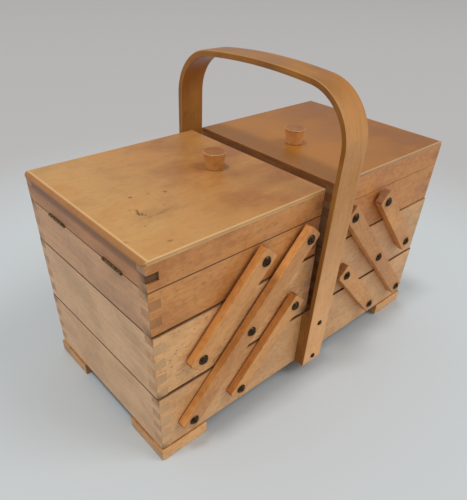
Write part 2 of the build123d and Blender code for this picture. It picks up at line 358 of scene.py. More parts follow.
def rounded_corners(half_width: float, half_height: float, radius: float,
                    steps: int) -> tuple[Array, Array]:
    """Corner centres and outward directions, point by point, of a rounded rectangle.

    Args:
        half_width: Half the width of the rectangle.
        half_height: Half its height.
        radius: Radius of its corners.
        steps: Points round each corner.

    Returns:
        Centres, and unit directions from them.
    """
    turn = np.linspace(0, np.pi / 2, steps)
    angle = np.concatenate([turn + k * np.pi / 2 for k in range(4)])
    way = np.repeat([[1, 1], [-1, 1], [-1, -1], [1, -1]], steps, axis=0)
    return (way * (half_width - radius, half_height - radius),
            np.stack([np.cos(angle), np.sin(angle)], axis=1))


def box_of(node: str) -> tuple[Array, Array]:
    """Lowest and highest corner of a CAD node, as arrays."""
    low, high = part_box(node)
    return np.array(low), np.array(high)


# ---- finishes --------------------------------------------------------------------------------
class Shader:
    """Node tree of one finish, filled node by node."""

    def __init__(self, tree: bpy.types.NodeTree) -> None:
        """Start from an empty tree."""
        tree.nodes.clear()
        self.tree = tree

    def add(self, kind: str, settings: Optional[dict] = None,
            inputs: Optional[dict] = None) -> bpy.types.Node:
        """Add one shader node.

        Args:
            kind: Blender's name of the node, without its ShaderNode prefix.
            settings: Properties to set on the node.
            inputs: Values, or sockets to link from, by the name or number of the input.

        Returns:
            The new node.
        """
        node = self.tree.nodes.new("ShaderNode" + kind)
        for name, value in (settings or {}).items():
            setattr(node, name, value)
        for socket, value in (inputs or {}).items():
            if isinstance(value, Socket):
                self.tree.links.new(value, node.inputs[socket])
            else:
                node.inputs[socket].default_value = value
        return node

    def place(self) -> Socket:
        """Place on the piece, in its own coordinates."""
        return self.add("TexCoord").outputs["Object"]

    def value(self, name: str) -> Socket:
        """Number that the points of the piece store under a name, or 0 where they have none."""
        return self.add("Attribute", {"attribute_name": name}).outputs["Fac"]

    def math(self, operation: str, *terms: Union[Socket, float]) -> Socket:
        """Result of one step of arithmetic."""
        return self.add("Math", {"operation": operation}, dict(enumerate(terms))).outputs[0]

    def scaled(self, place: Socket, factors: tuple[float, float, float]) -> Socket:
        """Place whose three directions are multiplied by factors."""
        return self.add("VectorMath", {"operation": "MULTIPLY"}, {0: place, 1: factors}).outputs[0]

    def far(self, place: Socket) -> Socket:
        """Distance of a place from the origin."""
        return self.add("VectorMath", {"operation": "LENGTH"}, {0: place}).outputs["Value"]

    def cloud(self, place: Socket, scale: float = 1.0, detail: float = 2.0) -> Socket:
        """Cloudy pattern over a place."""
        return self.add("TexNoise", inputs={
            "Vector": place, "Scale": scale, "Detail": detail}).outputs["Fac"]

    def ramp(self, value: Socket, start: float, end: float, low: float = 0.0, high: float = 1.0,
             smooth: bool = False) -> Socket:
        """Number that goes from low to high while the value goes from start to end.

        Args:
            value: Number to map.
            start: Value at which the result is low.
            end: Value at which it is high.
            low: Lowest result.
            high: Highest result.
            smooth: Whether it eases in and out.

        Returns:
            The result.
        """
        return self.add("MapRange", {"interpolation_type": "SMOOTHSTEP" if smooth else "LINEAR"}, {
            "Value": value, "From Min": start, "From Max": end,
            "To Min": low, "To Max": high}).outputs[0]

    def mix(self, share: Socket, under: Union[Socket, str], over: str) -> Socket:
        """Colour that lies a share of the way from one colour to another, each hex or a socket.

        Args:
            share: How much of the upper colour shows.
            under: Lower colour.
            over: Upper colour.

        Returns:
            The mixed colour.
        """
        under = linear(under) if isinstance(under, str) else under
        return self.add("Mix", {"data_type": "RGBA"}, {
            "Factor": share, "A": under, "B": linear(over)}).outputs["Result"]

    def bump(self, height: Socket, strength: float, depth: float) -> Socket:
        """Normals of a relief whose depth is given in mm."""
        return self.add("Bump", inputs={
            "Height": height, "Strength": strength, "Distance": depth * MM}).outputs[0]

    def surface(self, inputs: dict) -> None:
        """End the tree in a surface with the given inputs."""
        skin = self.add("BsdfPrincipled", inputs=inputs)
        self.add("OutputMaterial", inputs={"Surface": skin.outputs[0]})


def new_material(name: str) -> tuple[Material, Shader]:
    """Make a material and the empty shader to fill.

    Args:
        name: Name of the material.

    Returns:
        The material and its shader.
    """
    material = bpy.data.materials.new(name)
    material.use_nodes = True
    return material, Shader(material.node_tree)


@dataclass(frozen=True)
class Tone:
    """Colours of one cut of a timber, as sRGB hex: pattern, shift, worn lacquer and painted
    highlight.
    """

    pale: str
    ground: str
    deep: str
    fleck: str = "#86562F"
    sunned: str = "#C59A66"
    rubbed: str = "#E2B57C"


EDGE_GRAIN = Tone("#B98A58", "#AC7A4A", "#916138")
END_GRAIN = Tone("#C99C6D", "#BE8E60", "#A3764C")
# Heartwood brown, also painted shade under the lids' nose.
HEARTWOOD_AND_SHADE = "#5C3C1E"
# Dark brown of real marks, and of painted shade in seams, recesses and the gap.
MARK_AND_SHADE_BROWN = "#452911"
LAID_AT = (0.7, 0.02, 0.07)


@dataclass(frozen=True)
class Timber:
    """Steamed beech under a thin satin lacquer that has yellowed.

    Beech is close and even: faint growth rings, fine fibres and short brown flecks where rays meet
    the face. Lacquer gives a soft sheen and darkens sawn edges and end grain more than faces.
    Lengths are millimetres on the real piece.
    """

    name: str
    face: Tone
    edge: Tone = EDGE_GRAIN
    end: Tone = END_GRAIN
    ring_spacing: float = 3.2
    ring_depth: float = 0.16
    fibre_width: float = 1.1
    fibre_length: float = 24.0
    fibre_depth: float = 0.34
    blotch: float = 4.5
    blotch_depth: float = 0.4
    fleck_length: float = 8.0
    fleck_width: float = 2.4
    fleck_depth: float = 0.3
    mottle: float = 34.0
    end_strength: float = 1.0
    roughness: float = 0.42
    sheen_spread: float = 0.08
    sheen: float = 0.4
    lacquer_ior: float = 1.48
    relief_strength: float = 0.35
    relief: float = 0.12
    sun_over: float = 0.0

    def materials(self) -> list[Material]:
        """Materials for the face, the edge and the end grain."""
        return [self.material(cut) for cut in Cut]

    def material(self, cut: Cut, laid: bool = False) -> Material:
        """Make or fetch the material of one cut.

        Args:
            cut: The cut, which names the material.
            laid: Whether the grain runs along a CAD node's own X axis. Otherwise the grain
                attribute of the piece is read.

        Returns:
            The material.
        """
        name = f"{self.name}_{cut.name.lower()}" + ("_laid" if laid else "")
        if name in bpy.data.materials:
            return bpy.data.materials[name]
        material, shader = new_material(name)
        if laid:
            grain = shader.add("Mapping", inputs={"Vector": shader.place(), "Location": LAID_AT})
        else:
            grain = shader.add("Attribute", {"attribute_name": "grain"})
        self.dress(shader, grain.outputs["Vector"], cut)
        return material

    def pattern(self, shader: Shader, grain: Socket, along: float, across: float,
                detail: float = 2.0) -> Socket:
        """Cloudy pattern, drawn out along the fibres, whose features have the given sizes in mm."""
        spread = (1 / (along * MM), 1 / (across * MM), 1 / (across * MM))
        return shader.cloud(shader.scaled(grain, spread), 1.0, detail)

    def rings(self, shader: Shader, grain: Socket) -> Socket:
        """Late wood of each growth ring: high on the outer side of every ring round the heart.

        The ring number is the distance from the heart of the log, bent by a slow wander, over the
        ring spacing; late wood grows from 0 to 1 over the ring and drops at its end.

        Args:
            shader: Shader to add to.
            grain: Place in the log.

        Returns:
            Late wood, from 0 to 1.
        """
        far = shader.far(shader.scaled(grain, (0.02, 1, 1)))
        wander = self.pattern(shader, grain, 160, 45)
        bent = shader.math("MULTIPLY_ADD", wander, 9 * MM, far)
        turn = shader.math("FRACT", shader.math("DIVIDE", bent, self.ring_spacing * MM))
        return shader.math("MULTIPLY", shader.ramp(turn, 0.2, 0.9, smooth=True),
                           shader.ramp(turn, 1.0, 0.92, smooth=True))

    def flecks(self, shader: Shader, grain: Socket) -> Socket:
        """Ray flecks: one short lens in each cell of a grid of stretched cells, in patches.

        Args:
            shader: Shader to add to.
            grain: Place in the log.

        Returns:
            Flecks, from 0 to 1.
        """
        across = 1 / (self.fleck_width * MM)
        spread = (1 / (self.fleck_length * MM), across, across)
        cells = shader.add("TexVoronoi", inputs={
            "Vector": shader.scaled(grain, spread), "Scale": 1.0}).outputs["Distance"]
        patch = self.pattern(shader, grain, 30, 14)
        return shader.math("MULTIPLY", shader.ramp(cells, 0.28, 0.12, smooth=True),
                           shader.ramp(patch, 0.35, 0.6, smooth=True))

    def dress(self, shader: Shader, grain: Socket, cut: Cut) -> None:
        """Lay colours over each other, then give the surface its sheen and a shallow relief.

        Each layer is a source, where its share starts and ends, the share's most, and the colour.
        The streak attribute a gives a band, heartwood and painted shade under the lid's
        nose, with the share a (2 - a). The shifted colour lies under the pattern, and again over it
        as far as sun_over says.

        Args:
            shader: Shader to fill.
            grain: Place in the log.
            cut: Cut to dress.
        """
        tone = (self.face, self.edge, self.end)[cut]
        strength = self.end_strength if cut == Cut.END else 1.0
        sun, streak = shader.value("sun"), shader.value("streak")
        # Band of heartwood and painted shade under the lid's nose.
        heart = shader.math("MULTIPLY", streak, shader.math("SUBTRACT", 2.0, streak))
        fibres = self.pattern(shader, grain, self.fibre_length, self.fibre_width, 3.0)
        mottle = self.pattern(shader, grain, 1.5 * self.mottle, self.mottle, 5.0)
        blotches = self.pattern(shader, grain, 1.5 * self.blotch, self.blotch, 4.0)
        flecks = self.flecks(shader, grain)
        layers = (
            # Shifted colour: a drift of tone on the lids, painted light on the hoop's front leg.
            (sun, 0.0, 1.0, 1.0, tone.sunned),
            (mottle, 0.42, 0.68, 1.0, tone.pale),
            (mottle, 0.5, 0.28, 0.6, tone.deep),
            (self.rings(shader, grain), 0.0, 1.0, self.ring_depth * strength, tone.deep),
            (sun, 0.0, 1.0, self.sun_over, tone.sunned),
            (blotches, 0.5, 0.66, self.blotch_depth, tone.deep),
            (blotches, 0.5, 0.34, self.blotch_depth, tone.pale),
            (fibres, 0.45, 0.8, self.fibre_depth, tone.deep),
            (fibres, 0.5, 0.2, 0.5 * self.fibre_depth, tone.pale),
            (flecks, 0.0, 1.0, self.fleck_depth, tone.fleck),
            # Heartwood streak, partly painted shade under the lid's nose.
            (heart, 0.0, 1.0, 0.55, HEARTWOOD_AND_SHADE),
            # Worn lacquer on a knob's side, and painted highlights on edges, crease and knob rings.
            (shader.value("rubbed"), 0.0, 1.0, 0.8, tone.rubbed),
            # Real marks and a knot, with painted shade in seams, a recess, the gap and the feet.
            (shader.value("wear"), 0.0, 1.0, 0.9, MARK_AND_SHADE_BROWN),
        )
        colour = tone.ground
        for source, start, end, most, over in layers:
            colour = shader.mix(shader.ramp(source, start, end, high=most), colour, over)
        shader.surface({
            "Base Color": colour, "IOR": self.lacquer_ior, "Specular IOR Level": self.sheen,
            "Roughness": shader.ramp(mottle, 0.3, 0.7, self.roughness - self.sheen_spread,
                                     self.roughness + self.sheen_spread),
            "Normal": shader.bump(shader.math("SUBTRACT", fibres, flecks), self.relief_strength,
                                  self.relief)})


@dataclass(frozen=True)
class Metal:
    """Bare or browned metal, turned or stamped, with dull patches where it has been handled."""

    name: str
    bright: str
    dull: str
    roughness: float
    patch: float

    def materials(self) -> list[Material]:
        """Its one material, in a list."""
        return [self.material()]

    def material(self) -> Material:
        """Make or fetch the material; patches are a cloudy pattern in the piece's own place.

        Returns:
            The material.
        """
        if self.name in bpy.data.materials:
            return bpy.data.materials[self.name]
        material, shader = new_material(self.name)
        cloud = shader.cloud(shader.place(), 1 / (self.patch * MM), 4.0)
        shader.surface({
            "Base Color": shader.mix(shader.ramp(cloud, 0.35, 0.65), self.bright, self.dull),
            "Metallic": 1.0,
            "Roughness": shader.ramp(cloud, 0.0, 1.0, self.roughness - 0.08, self.roughness + 0.12),
            "Normal": shader.bump(cloud, 0.3, 0.05)})
        return material


# Sawn beech walls: tan and brown-flecked above, paler and calmer below.
WALL_BEECH = Timber("beech_walls", Tone("#DE9D5C", "#D18D50", "#B2713C"), fleck_depth=0.4)
BASE_BEECH = Timber("beech_base", Tone("#E9B680", "#DCA772", "#BF8A56"), fleck_depth=0.25)
# A board sawn towards the heart, so that rays show as dense brown dashes.
PALE_BEECH = Timber("beech_pale_flecked", Tone("#F4C289", "#E4AE75", "#C6905A", "#965E32"),
                    end=Tone("#DBAA78", "#C99664", "#A37349"), fleck_depth=1.0)
# End boards of plain wood, pinkish above and straw below, with finger ends that drank lacquer.
UPPER_ENDS = Timber("beech_upper_ends", Tone("#DFAD82", "#CC9B71", "#AB7A53"),
                    end=Tone("#BF8752", "#B27B48", "#97653A"), fleck_depth=0.2, blotch_depth=0.2)
LID_ENDS = replace(UPPER_ENDS, name="beech_lid_ends", face=Tone("#C78D5F", "#B67D52", "#99633B"))
LOWER_ENDS = replace(UPPER_ENDS, name="beech_lower_ends",
                     face=Tone("#E9BC92", "#D9AB7E", "#B78E65"),
                     end=Tone("#DCB283", "#D0A375", "#B78B5E"))
# Sanded lids whose lacquer shines more; towards the outer end the left pales, the right darkens.
LEFT_LID = Timber("beech_left_lid", Tone("#BE884B", "#A66C37", "#975F2E", sunned="#C79A5D"),
                  Tone("#E8B97D", "#DDAC70", "#C6925A", sunned="#D7A46C"),
                  Tone("#A77040", "#9E683B", "#89552D", sunned="#AC7743"), ring_depth=0.07,
                  fibre_depth=0.22, fleck_depth=0.1, blotch_depth=0.15, end_strength=0.5,
                  roughness=0.36, sun_over=0.2)
RIGHT_LID = replace(LEFT_LID, name="beech_right_lid",
                    face=Tone("#AE7331", "#A96C2A", "#A06629", sunned="#88501D"),
                    edge=Tone("#D0A477", "#C2946A", "#A97C54", sunned="#C2946A"),
                    end=Tone("#A77040", "#9E683B", "#89552D", sunned="#98673D"), ring_depth=0.1,
                    fibre_depth=0.25, sun_over=0.6)
# Milled link strips: honey faces with warmer sides and dark ends.
LINK_BEECH = Timber("beech_links", Tone("#E7A764", "#D89859", "#BC7D42"),
                    Tone("#DC9751", "#CC8745", "#AF6D35"), Tone("#A9744A", "#996439", "#7D4E2A"),
                    fleck_depth=0.2)
LONG_LINK_BEECH = replace(LINK_BEECH, name="beech_long_links",
                          face=Tone("#D9995B", "#CB8B51", "#B1723C"),
                          edge=Tone("#ECA85F", "#DA9651", "#BC7A3F"))
# Steam-bent strip: even and reddish brown; its shifted colour is painted light on the front leg.
BENT_BEECH = Timber("beech_hoop", Tone("#B2772F", "#A0682C", "#8A5824", sunned="#FFBF81"),
                    Tone("#B17A35", "#9E6A31", "#815124", sunned="#9E5F24"),
                    fleck_depth=0.08, blotch_depth=0.12, roughness=0.36, sun_over=0.75, sheen=0.25)
# Turned beech, orange and polished by fingers.
TURNED = Tone("#F8B66C", "#E8A059", "#C27F42")
KNOB_BEECH = Timber("beech_knob", TURNED, TURNED, Tone("#A86B31", "#985E28", "#7D471B"),
                    fibre_length=14, roughness=0.32)
FOOT_BEECH = Timber("beech_feet", Tone("#FBC180", "#EBAF70", "#C88D52"),
                    Tone("#CC945C", "#BD844D", "#9E693A"))
# Peeled ply, drier and duller than the boards.
PLY = Timber("beech_ply_bottoms", Tone("#CDAA7C", "#C09A6A", "#A67F50"), roughness=0.5)
# Screws browned in heat, stamped brass gone dull, and zinc plating that stayed bright.
BROWNED_STEEL = Metal("browned_steel_screws", "#5E4A36", "#33261C", 0.38, 2.5)
AGED_BRASS = Metal("aged_brass_hinges", "#A68B60", "#3E3222", 0.42, 1.6)
BRIGHT_STEEL = Metal("zinc_plated_screws", "#A9A9A5", "#7F7F7B", 0.35, 3.0)


def stand(solid: Solid, node: str, body: str, finish: Union[Timber, Metal], slot: str,
          name: str = "", **values: Array) -> None:
    """Put a finished piece in the scene, on its body, in the place of its CAD node.

    Args:
        solid: The piece at rest.
        node: CAD node that it stands for.
        body: Body that it moves with.
        finish: What it is made of.
        slot: Name of a material slot; not used.
        name: Name of the new object, if not timber_ and the node.
        values: Numbers at its points that its material reads, by name.
    """
    name = name or f"timber_{node}"
    mesh = solid.mesh(name)
    for key, numbers in values.items():
        made = mesh.attributes.new(key, "FLOAT", "POINT")
        made.data.foreach_set("value", numbers.astype(np.float32))
    for material in finish.materials():
        mesh.materials.append(material)
    mesh.set_sharp_from_angle(angle=SHARP_ANGLE)
    piece = bpy.data.objects.new(name, mesh)
    bpy.context.scene.collection.objects.link(piece)
    even = piece.modifiers.new("even_normals", "WEIGHTED_NORMAL")
    even.keep_sharp = True
    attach(piece, body)
    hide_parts(node)
    log.info("%s: %d points, on %s", name, len(solid.points), body)


def bell(distance: Array, width: float) -> Array:
    """Bell curve exp(-(d / w)^2) of a distance d over a width w."""
    return np.exp(-((distance / width) ** 2))


# ---- finger-jointed boards -------------------------------------------------------------------
@dataclass(frozen=True)
class Notches:
    """Leaf and barrel recesses of the hinges in the seam edge of an end board.

    Depths are upright, from the seam edge; reaches are level, from the board's outer face.
    """

    on_top: bool = True
    centres: tuple = (-54.5 * MM, 46 * MM)
    length: float = 30.2 * MM
    leaf_depth: float = 1.2 * MM
    leaf_reach: float = 10.1 * MM
    barrel_depth: float = 1.6 * MM
    barrel_reach: float = 1.4 * MM


@dataclass(frozen=True)
class Board:
    """One board of a finger-jointed frame, measured on its CAD node.

    Attributes:
        rows: Finger rows at the corner, counted from the top; long sides fill the first, third
            and so on, and end boards fill the others.
        ease: Rounding of the outer edges.
        top_eased: Whether the top edges are rounded too.
        seam_shade: How much painted shade darkens its seam edges, from 0 to 1.
        notches: Hinge recesses, if it has any.
        broken: How far its first finger at the front has broken back.
        recess_shade: How much painted shade darkens the recess where its finger broke back.
        joint: Gap between two fingers, a glue line.
        node: CAD node that the board stands for.
        run: Axis along the board, 0 for a long side and 1 for an end.
        outer: Side on which its outer face lies, -1 or 1.
    """

    rows: int
    ease: float = 1.1 * MM
    top_eased: bool = True
    seam_shade: float = 0.75
    notches: Optional[Notches] = None
    broken: float = 0.0
    recess_shade: float = 0.85
    joint: float = 0.12 * MM
    node: str = ""
    run: int = 0
    outer: int = 1

    @property
    def box(self) -> Array:
        """Lowest and highest corner, each as (run, width, height)."""
        return np.array(box_of(self.node))[:, [self.run, 1 - self.run, 2]]

    @property
    def faces(self) -> tuple[float, float]:
        """Places across the board of its outer face and of its inner face."""
        low, high = self.box[:, 1]
        return (high, low) if self.outer > 0 else (low, high)

    def outline(self, depth: float) -> Array:
        """Outline in (run, height): fingers at both ends and notches of the given depth.

        At each row the end lies at the full length or is set back by the thickness of the mating
        board, and the height steps down by one row.

        Args:
            depth: Depth of the notches.

        Returns:
            Its corners, in order.
        """
        (u_low, w_low, z_low), (u_high, w_high, z_high) = self.box
        full = np.arange(self.rows) % 2 == self.run
        setback = np.where(full, 0.0, w_high - w_low + self.joint)
        levels = np.linspace(z_high, z_low, self.rows + 1)
        levels[1:-1] += np.where(full[:-1], 0.5, -0.5) * self.joint
        steps = np.stack([levels[:-1], levels[1:]], axis=1).ravel()
        inset = np.repeat(setback, 2)
        right = np.stack([u_high - inset, steps], axis=1)
        inset[2 * self.run:2 * self.run + 2] += self.broken
        left = np.stack([u_low + inset, steps], axis=1)[::-1]
        if self.notches is None:
            return np.concatenate([right, left])
        half = self.notches.length / 2
        if self.notches.on_top:
            edge, deep, way = z_high, z_high - depth, 1
        else:
            edge, deep, way = z_low, z_low + depth, -1
        cut = np.concatenate([
            [(c - way * half, edge), (c - way * half, deep), (c + way * half, deep),
             (c + way * half, edge)] for c in self.notches.centres[::way]])
        return np.concatenate([right, left, cut] if way > 0 else [right, cut, left])

    def layers(self) -> list[tuple[float, float]]:
        """Places across the board, each with the depth of the notches there.

        Returns:
            Pairs of a place and a depth.
        """
        outside, inside = self.faces
        if self.notches is None:
            return [(place, 0.0) for place in self.box[:, 1]]
        leaf = outside - self.outer * self.notches.leaf_reach
        barrel = outside - self.outer * self.notches.barrel_reach
        return [(inside, 0.0), (leaf, 0.0), (leaf, self.notches.leaf_depth),
                (barrel, self.notches.leaf_depth), (barrel, self.notches.barrel_depth),
                (outside, self.notches.barrel_depth)]

    def painted_shade(self, points: Array) -> Array:
        """Painted shade at each point: in the seams between tiers, and in a broken finger's recess.

        Args:
            points: Points of the board.

        Returns:
            A share for each point.
        """
        (u_low, _, z_low), (_, _, z_high) = self.box
        rim = points[:, 2] - z_low
        if self.top_eased:
            rim = np.minimum(rim, z_high - points[:, 2])
        outside = np.abs(points[:, 1 - self.run] - self.faces[0])
        seam = (rim < 0.6 * self.ease) & (outside < 2 * self.ease)
        recess_shade = (np.abs(points[:, self.run] - u_low - self.broken) < NEAR) & (self.broken > 0)
        # Painted shade: the seam edges between tiers and the recess of the broken finger.
        return np.maximum(self.seam_shade * seam, self.recess_shade * recess_shade)

    def solid(self) -> Solid:
        """Board with rounded outer edges, cut from its own log.

        Returns:
            The finished board.
        """
        loops = [np.insert(self.outline(depth), 1, w, axis=1) for w, depth in self.layers()]
        made = loft(np.stack(loops)).reworked()
        (u_low, _, z_low), (u_high, _, z_high) = self.box
        outer, inner = (np.abs(made.points[:, 1] - w) < NEAR for w in self.faces)
        ends = np.abs(made.points[:, :1] - (u_low, u_high)).min(1) < NEAR
        bottom, top = (np.abs(made.points[:, 2] - z) < NEAR for z in (z_low, z_high))
        made = made.reworked(np.stack([ends & ~inner, outer, top & self.top_eased, bottom], 1),
                             self.ease)
        turned = np.eye(3)[[self.run, 1 - self.run, 2]]
        return made.moved(turned, (0, 0, 0)).cut_from(self.node, turned[0], turned[1])


@dataclass(frozen=True)
class Frame:
    """Four boards of the box, of a tray or of a lid rim.

    Attributes:
        prefix: Start of the boards' node names.
        board: How the boards are worked; notches and a broken finger are the outer end's alone.
        timber: Timber of the long sides.
        end_timber: Timber of the ends.
        front_timber: Timber of the front, if it is another.
        ends: Names of the two ends.
        streak: Where a band of heartwood and painted shade, under the lid's nose, starts
        on the outer end, and its width.
        painted_gap_shade: How much painted shade darkens the faces that meet the other half,
        standing in for the shade in the gap between the halves.
    """

    prefix: str
    board: Board
    timber: Timber
    end_timber: Timber
    front_timber: Optional[Timber] = None
    ends: tuple[str, str] = ("outer_end", "inner_end")
    streak: Optional[tuple[float, float]] = None
    painted_gap_shade: float = 0.0

    def build(self, body: str) -> None:
        """Build and dress the four boards.

        Args:
            body: Body that the frame moves with.
        """
        sides = np.array([box_of(f"{self.prefix}_{side}_board") for side in ("front", "back")])
        middle = sides.mean((0, 1))
        inmost = np.abs(sides[..., 0]).min() + NEAR
        for place in ("front", "back", *self.ends):
            node = f"{self.prefix}_{place}_board"
            run = int(place in self.ends)
            outer = 1 if box_of(node)[0][1 - run] > middle[1 - run] else -1
            board = replace(self.board, node=node, run=run, outer=outer)
            if place != "outer_end":
                board = replace(board, notches=None, broken=0.0)
            made = board.solid()
            # Painted shade on the inner ends, which face the shaded gap between the halves.
            painted_gap_shade = self.painted_gap_shade * (np.abs(made.points[:, 0]) < inmost)
            values = {"wear": np.maximum(board.painted_shade(made.points), painted_gap_shade)}
            # A band of heartwood and painted shade under the lid's nose.
            if place == "outer_end" and self.streak:
                low, width = self.streak
                values["streak"] = (made.points[:, 2] - low) / width
            timber = self.end_timber if run else self.timber
            if place == "front":
                timber = self.front_timber or timber
            stand(made, node, body, timber, "beech", **values)


# ---- lids and knobs --------------------------------------------------------------------------
@dataclass(frozen=True)
class LidPanel:
    """Lid panel, bevelled down to a thin lip at the outer end, with eased long edges."""

    side: str
    timber: Timber
    marks: tuple = ()
    bevel: float = 5.0 * MM
    lip: float = 0.7 * MM
    bulge: float = 0.35 * MM
    crease: float = 0.5 * MM
    long_edge: float = 1.2 * MM
    inner_edge: float = 0.9 * MM
    corner: float = 5.0 * MM
    spacing: float = 1.2 * MM
    sun_from: float = 60 * MM
    sun_over: float = 150 * MM
    handled: float = 0.3
    mark_depth: float = 0.5 * MM
    ridge_width: float = 0.8 * MM
    highlight_width: float = 0.6 * MM
    edge_highlight: float = 0.7

    def solid(self) -> Solid:
        """Height field over (x, y): flat, falling to the lip, with a quarter round at other edges.

        The bevel is the line from the lip to the crease plus a bulge 4 b s (1 - s), and a round of
        a smooth minimum takes the sharpness off the crease. The outer corners are quarter circles
        in plan, so there the rows of the grid draw together.

        Returns:
            The finished panel.
        """
        low, high = box_of(f"lid_{self.side}_panel")
        length, half = high[0] - low[0], (high[1] - low[1]) / 2
        thick = high[2] - low[2]
        fine = np.linspace(0, self.bevel + 2 * self.crease, 14)
        flat = np.arange(fine[-1], length - self.inner_edge, self.spacing)
        inward = length - quarter(self.inner_edge, 7)[0]
        across = np.unique(np.concatenate([fine, flat, inward]))
        edge = np.concatenate([quarter(self.long_edge, 6)[0], quarter(self.corner, 10)[0]])
        y = np.unique(np.concatenate([edge - half, half - edge, np.arange(
            self.corner - half, half - self.corner, self.spacing)]))
        reach, y = np.meshgrid(across, y, indexing="ij")
        cut_back = self.fall(half - np.abs(y), self.corner)
        reach = cut_back + reach * (length - cut_back) / length
        share = np.clip(reach / self.bevel, 0, 1.5)
        slope = self.lip + (thick - self.lip) * share + 4 * self.bulge * share * (1 - share)
        level = np.minimum(slope, thick) - self.crease / 4 * bell(reach - self.bevel, self.crease)
        inner = self.fall(length - reach, self.inner_edge)
        sides = self.fall(half - np.abs(y), self.long_edge)
        top = low[2] + np.minimum(level, thick - np.maximum(inner, sides))
        x = high[0] - reach if self.side == "right" else low[0] + reach
        made = sheet_solid(x, y, top, np.full_like(top, low[2]))
        return made.cut_from(f"lid_{self.side}_panel", (1, 0, 0), (0, 0, 1))

    @staticmethod
    def fall(distance: Array, radius: float) -> Array:
        """How far a quarter round has dropped at a distance from its edge."""
        left = np.clip(radius - distance, 0, radius)
        return radius - np.sqrt(radius ** 2 - left ** 2)

    def wear(self, points: Array) -> Array:
        """Dark marks: the highest of soft strokes, each a distance to a short line over its width.

        The lower side of the rounded long edges is darker too.

        Args:
            points: Points of the panel.

        Returns:
            A share for each point.
        """
        wear = np.zeros(len(points))
        for x0, y0, x1, y1, width, depth in self.marks:
            start, run = np.array([x0, y0]) * MM, np.array([x1 - x0, y1 - y0]) * MM
            away = points[:, :2] - start
            share = np.clip(away @ run / max(run @ run, 1e-12), 0, 1)
            far = np.linalg.norm(away - share[:, None] * run, axis=1)
            wear = np.maximum(wear, depth * bell(far, width * MM))
        wear *= points[:, 2] > points[:, 2].max() - self.mark_depth
        side = points[:, 1].max() - np.abs(points[:, 1])
        raised = points[:, 2] > points[:, 2].min() + NEAR
        return np.maximum(wear, self.handled * ((side < NEAR) & raised))

    def rubbed(self, points: Array) -> Array:
        """Painted highlights: bell curves on the crease and along the long edges.

        Args:
            points: Points of the panel.

        Returns:
            A share for each point.
        """
        reach = np.abs(points[:, 0]).max() - np.abs(points[:, 0])
        side = points[:, 1].max() - np.abs(points[:, 1])
        ridge = bell(reach - self.bevel, self.ridge_width) * (side > self.long_edge)
        long_edge = self.edge_highlight * bell(side - 0.6 * self.long_edge, self.highlight_width)
        return np.maximum(ridge, long_edge) * (points[:, 2] > points[:, 2].min() + NEAR)

    def sun(self, points: Array) -> Array:
        """Share of the shifted colour: a smooth step s s (3 - 2 s) towards the outer end."""
        share = np.clip((SIDES[self.side] * points[:, 0] - self.sun_from) / self.sun_over, 0, 1)
        return share * share * (3 - 2 * share)

    def build(self) -> None:
        """Build the panel and store its marks and darkening, its painted highlights and its colour
        shift.
        """
        made = self.solid()
        # Painted highlights on the crease and the long edges.
        stand(made, f"lid_{self.side}_panel", f"lid_{self.side}", self.timber, "lid_wood",
              wear=self.wear(made.points), rubbed=self.rubbed(made.points),
              sun=self.sun(made.points))


@dataclass(frozen=True)
class Knob:
    """Turned knob that widens upwards, with a soft rim, screwed to its lid.

    Attributes:
        side: Half that it belongs to.
        handled: How dark fingers have made its side.
        faded: How far the lacquer of its side is gone.
        rim: Rounding of its top edge.
        hollow: Depth of the dish in its top.
        flare: How much wider its top is than its foot, at each side.
        waist: How far its side is drawn in halfway up.
        chamfer: Height of the chamfer round its foot.
        rim_ring: How strong a painted highlight in a ring round the rim is, and how wide.
        foot_ring: The same round the foot.
    """

    side: str
    handled: float = 0.0
    faded: float = 0.0
    rim: float = 1.2 * MM
    hollow: float = 0.35 * MM
    flare: float = 2.7 * MM
    waist: float = 0.35 * MM
    chamfer: float = 0.4 * MM
    rim_ring: tuple[float, float] = (0.6, 0.5 * MM)
    foot_ring: tuple[float, float] = (0.7, 0.8 * MM)

    def build(self) -> None:
        """Turn the profile: foot chamfer, slightly waisted side, round rim, shallow dished top.

        A highlight is painted in a ring round the rim and the foot, fading as a bell curve.
        """
        low, high = box_of(f"lid_{self.side}_knob")
        middle, height = (low + high) / 2, high[2] - low[2]
        top = (high[0] - low[0]) / 2
        base = top - self.flare
        rise = np.linspace(self.chamfer, height - self.rim, 12)
        share = rise / height
        side = base + self.flare * share - self.waist * np.sin(np.pi * share)
        turn = np.linspace(0, np.pi / 2, 7)[1:]
        dish = np.linspace(top - self.rim, 0.3 * MM, 10)[1:]
        sunk = self.hollow * np.sin(np.pi / 2 * (1 - dish / (top - self.rim)))
        radii = np.concatenate([[base - 0.75 * self.chamfer], side,
                                top - self.rim * (1 - np.cos(turn)), dish])
        heights = np.concatenate([[0.0], rise,
                                  height - self.rim * (1 - np.sin(turn)), height - sunk])
        made = lathe(radii, heights, 72).moved(np.eye(3), (middle[0], middle[1], low[2]))
        made = made.cut_from(f"knob_{self.side}", (0, 0, 1), (0, 1, 0))
        drop = high[2] - made.points[:, 2]
        on_rim = np.linalg.norm((made.points - middle)[:, :2], axis=1) > top - 0.75 * self.rim
        bare, width = self.rim_ring
        rim = bare * on_rim * bell(drop - 0.3 * self.rim, width)
        bare, width = self.foot_ring
        foot = bare * bell(drop - height, width)
        on_side = drop > self.rim
        # Painted highlights in rings round the rim and the foot; worn lacquer on a faded side.
        stand(made, f"lid_{self.side}_knob", f"lid_{self.side}", KNOB_BEECH, "knob_wood",
              rubbed=np.maximum(rim + foot, self.faded * on_side),
              wear=self.handled * on_side * (foot < 0.1))


# ---- links and screws ------------------------------------------------------------------------
class Tier(Enum):
    """Tiers that links are screwed to, each with the start of its board names."""

    BOX = "box"
    MIDDLE_TRAY = "middle_tray_left"
    TOP_TRAY = "top_tray_left"


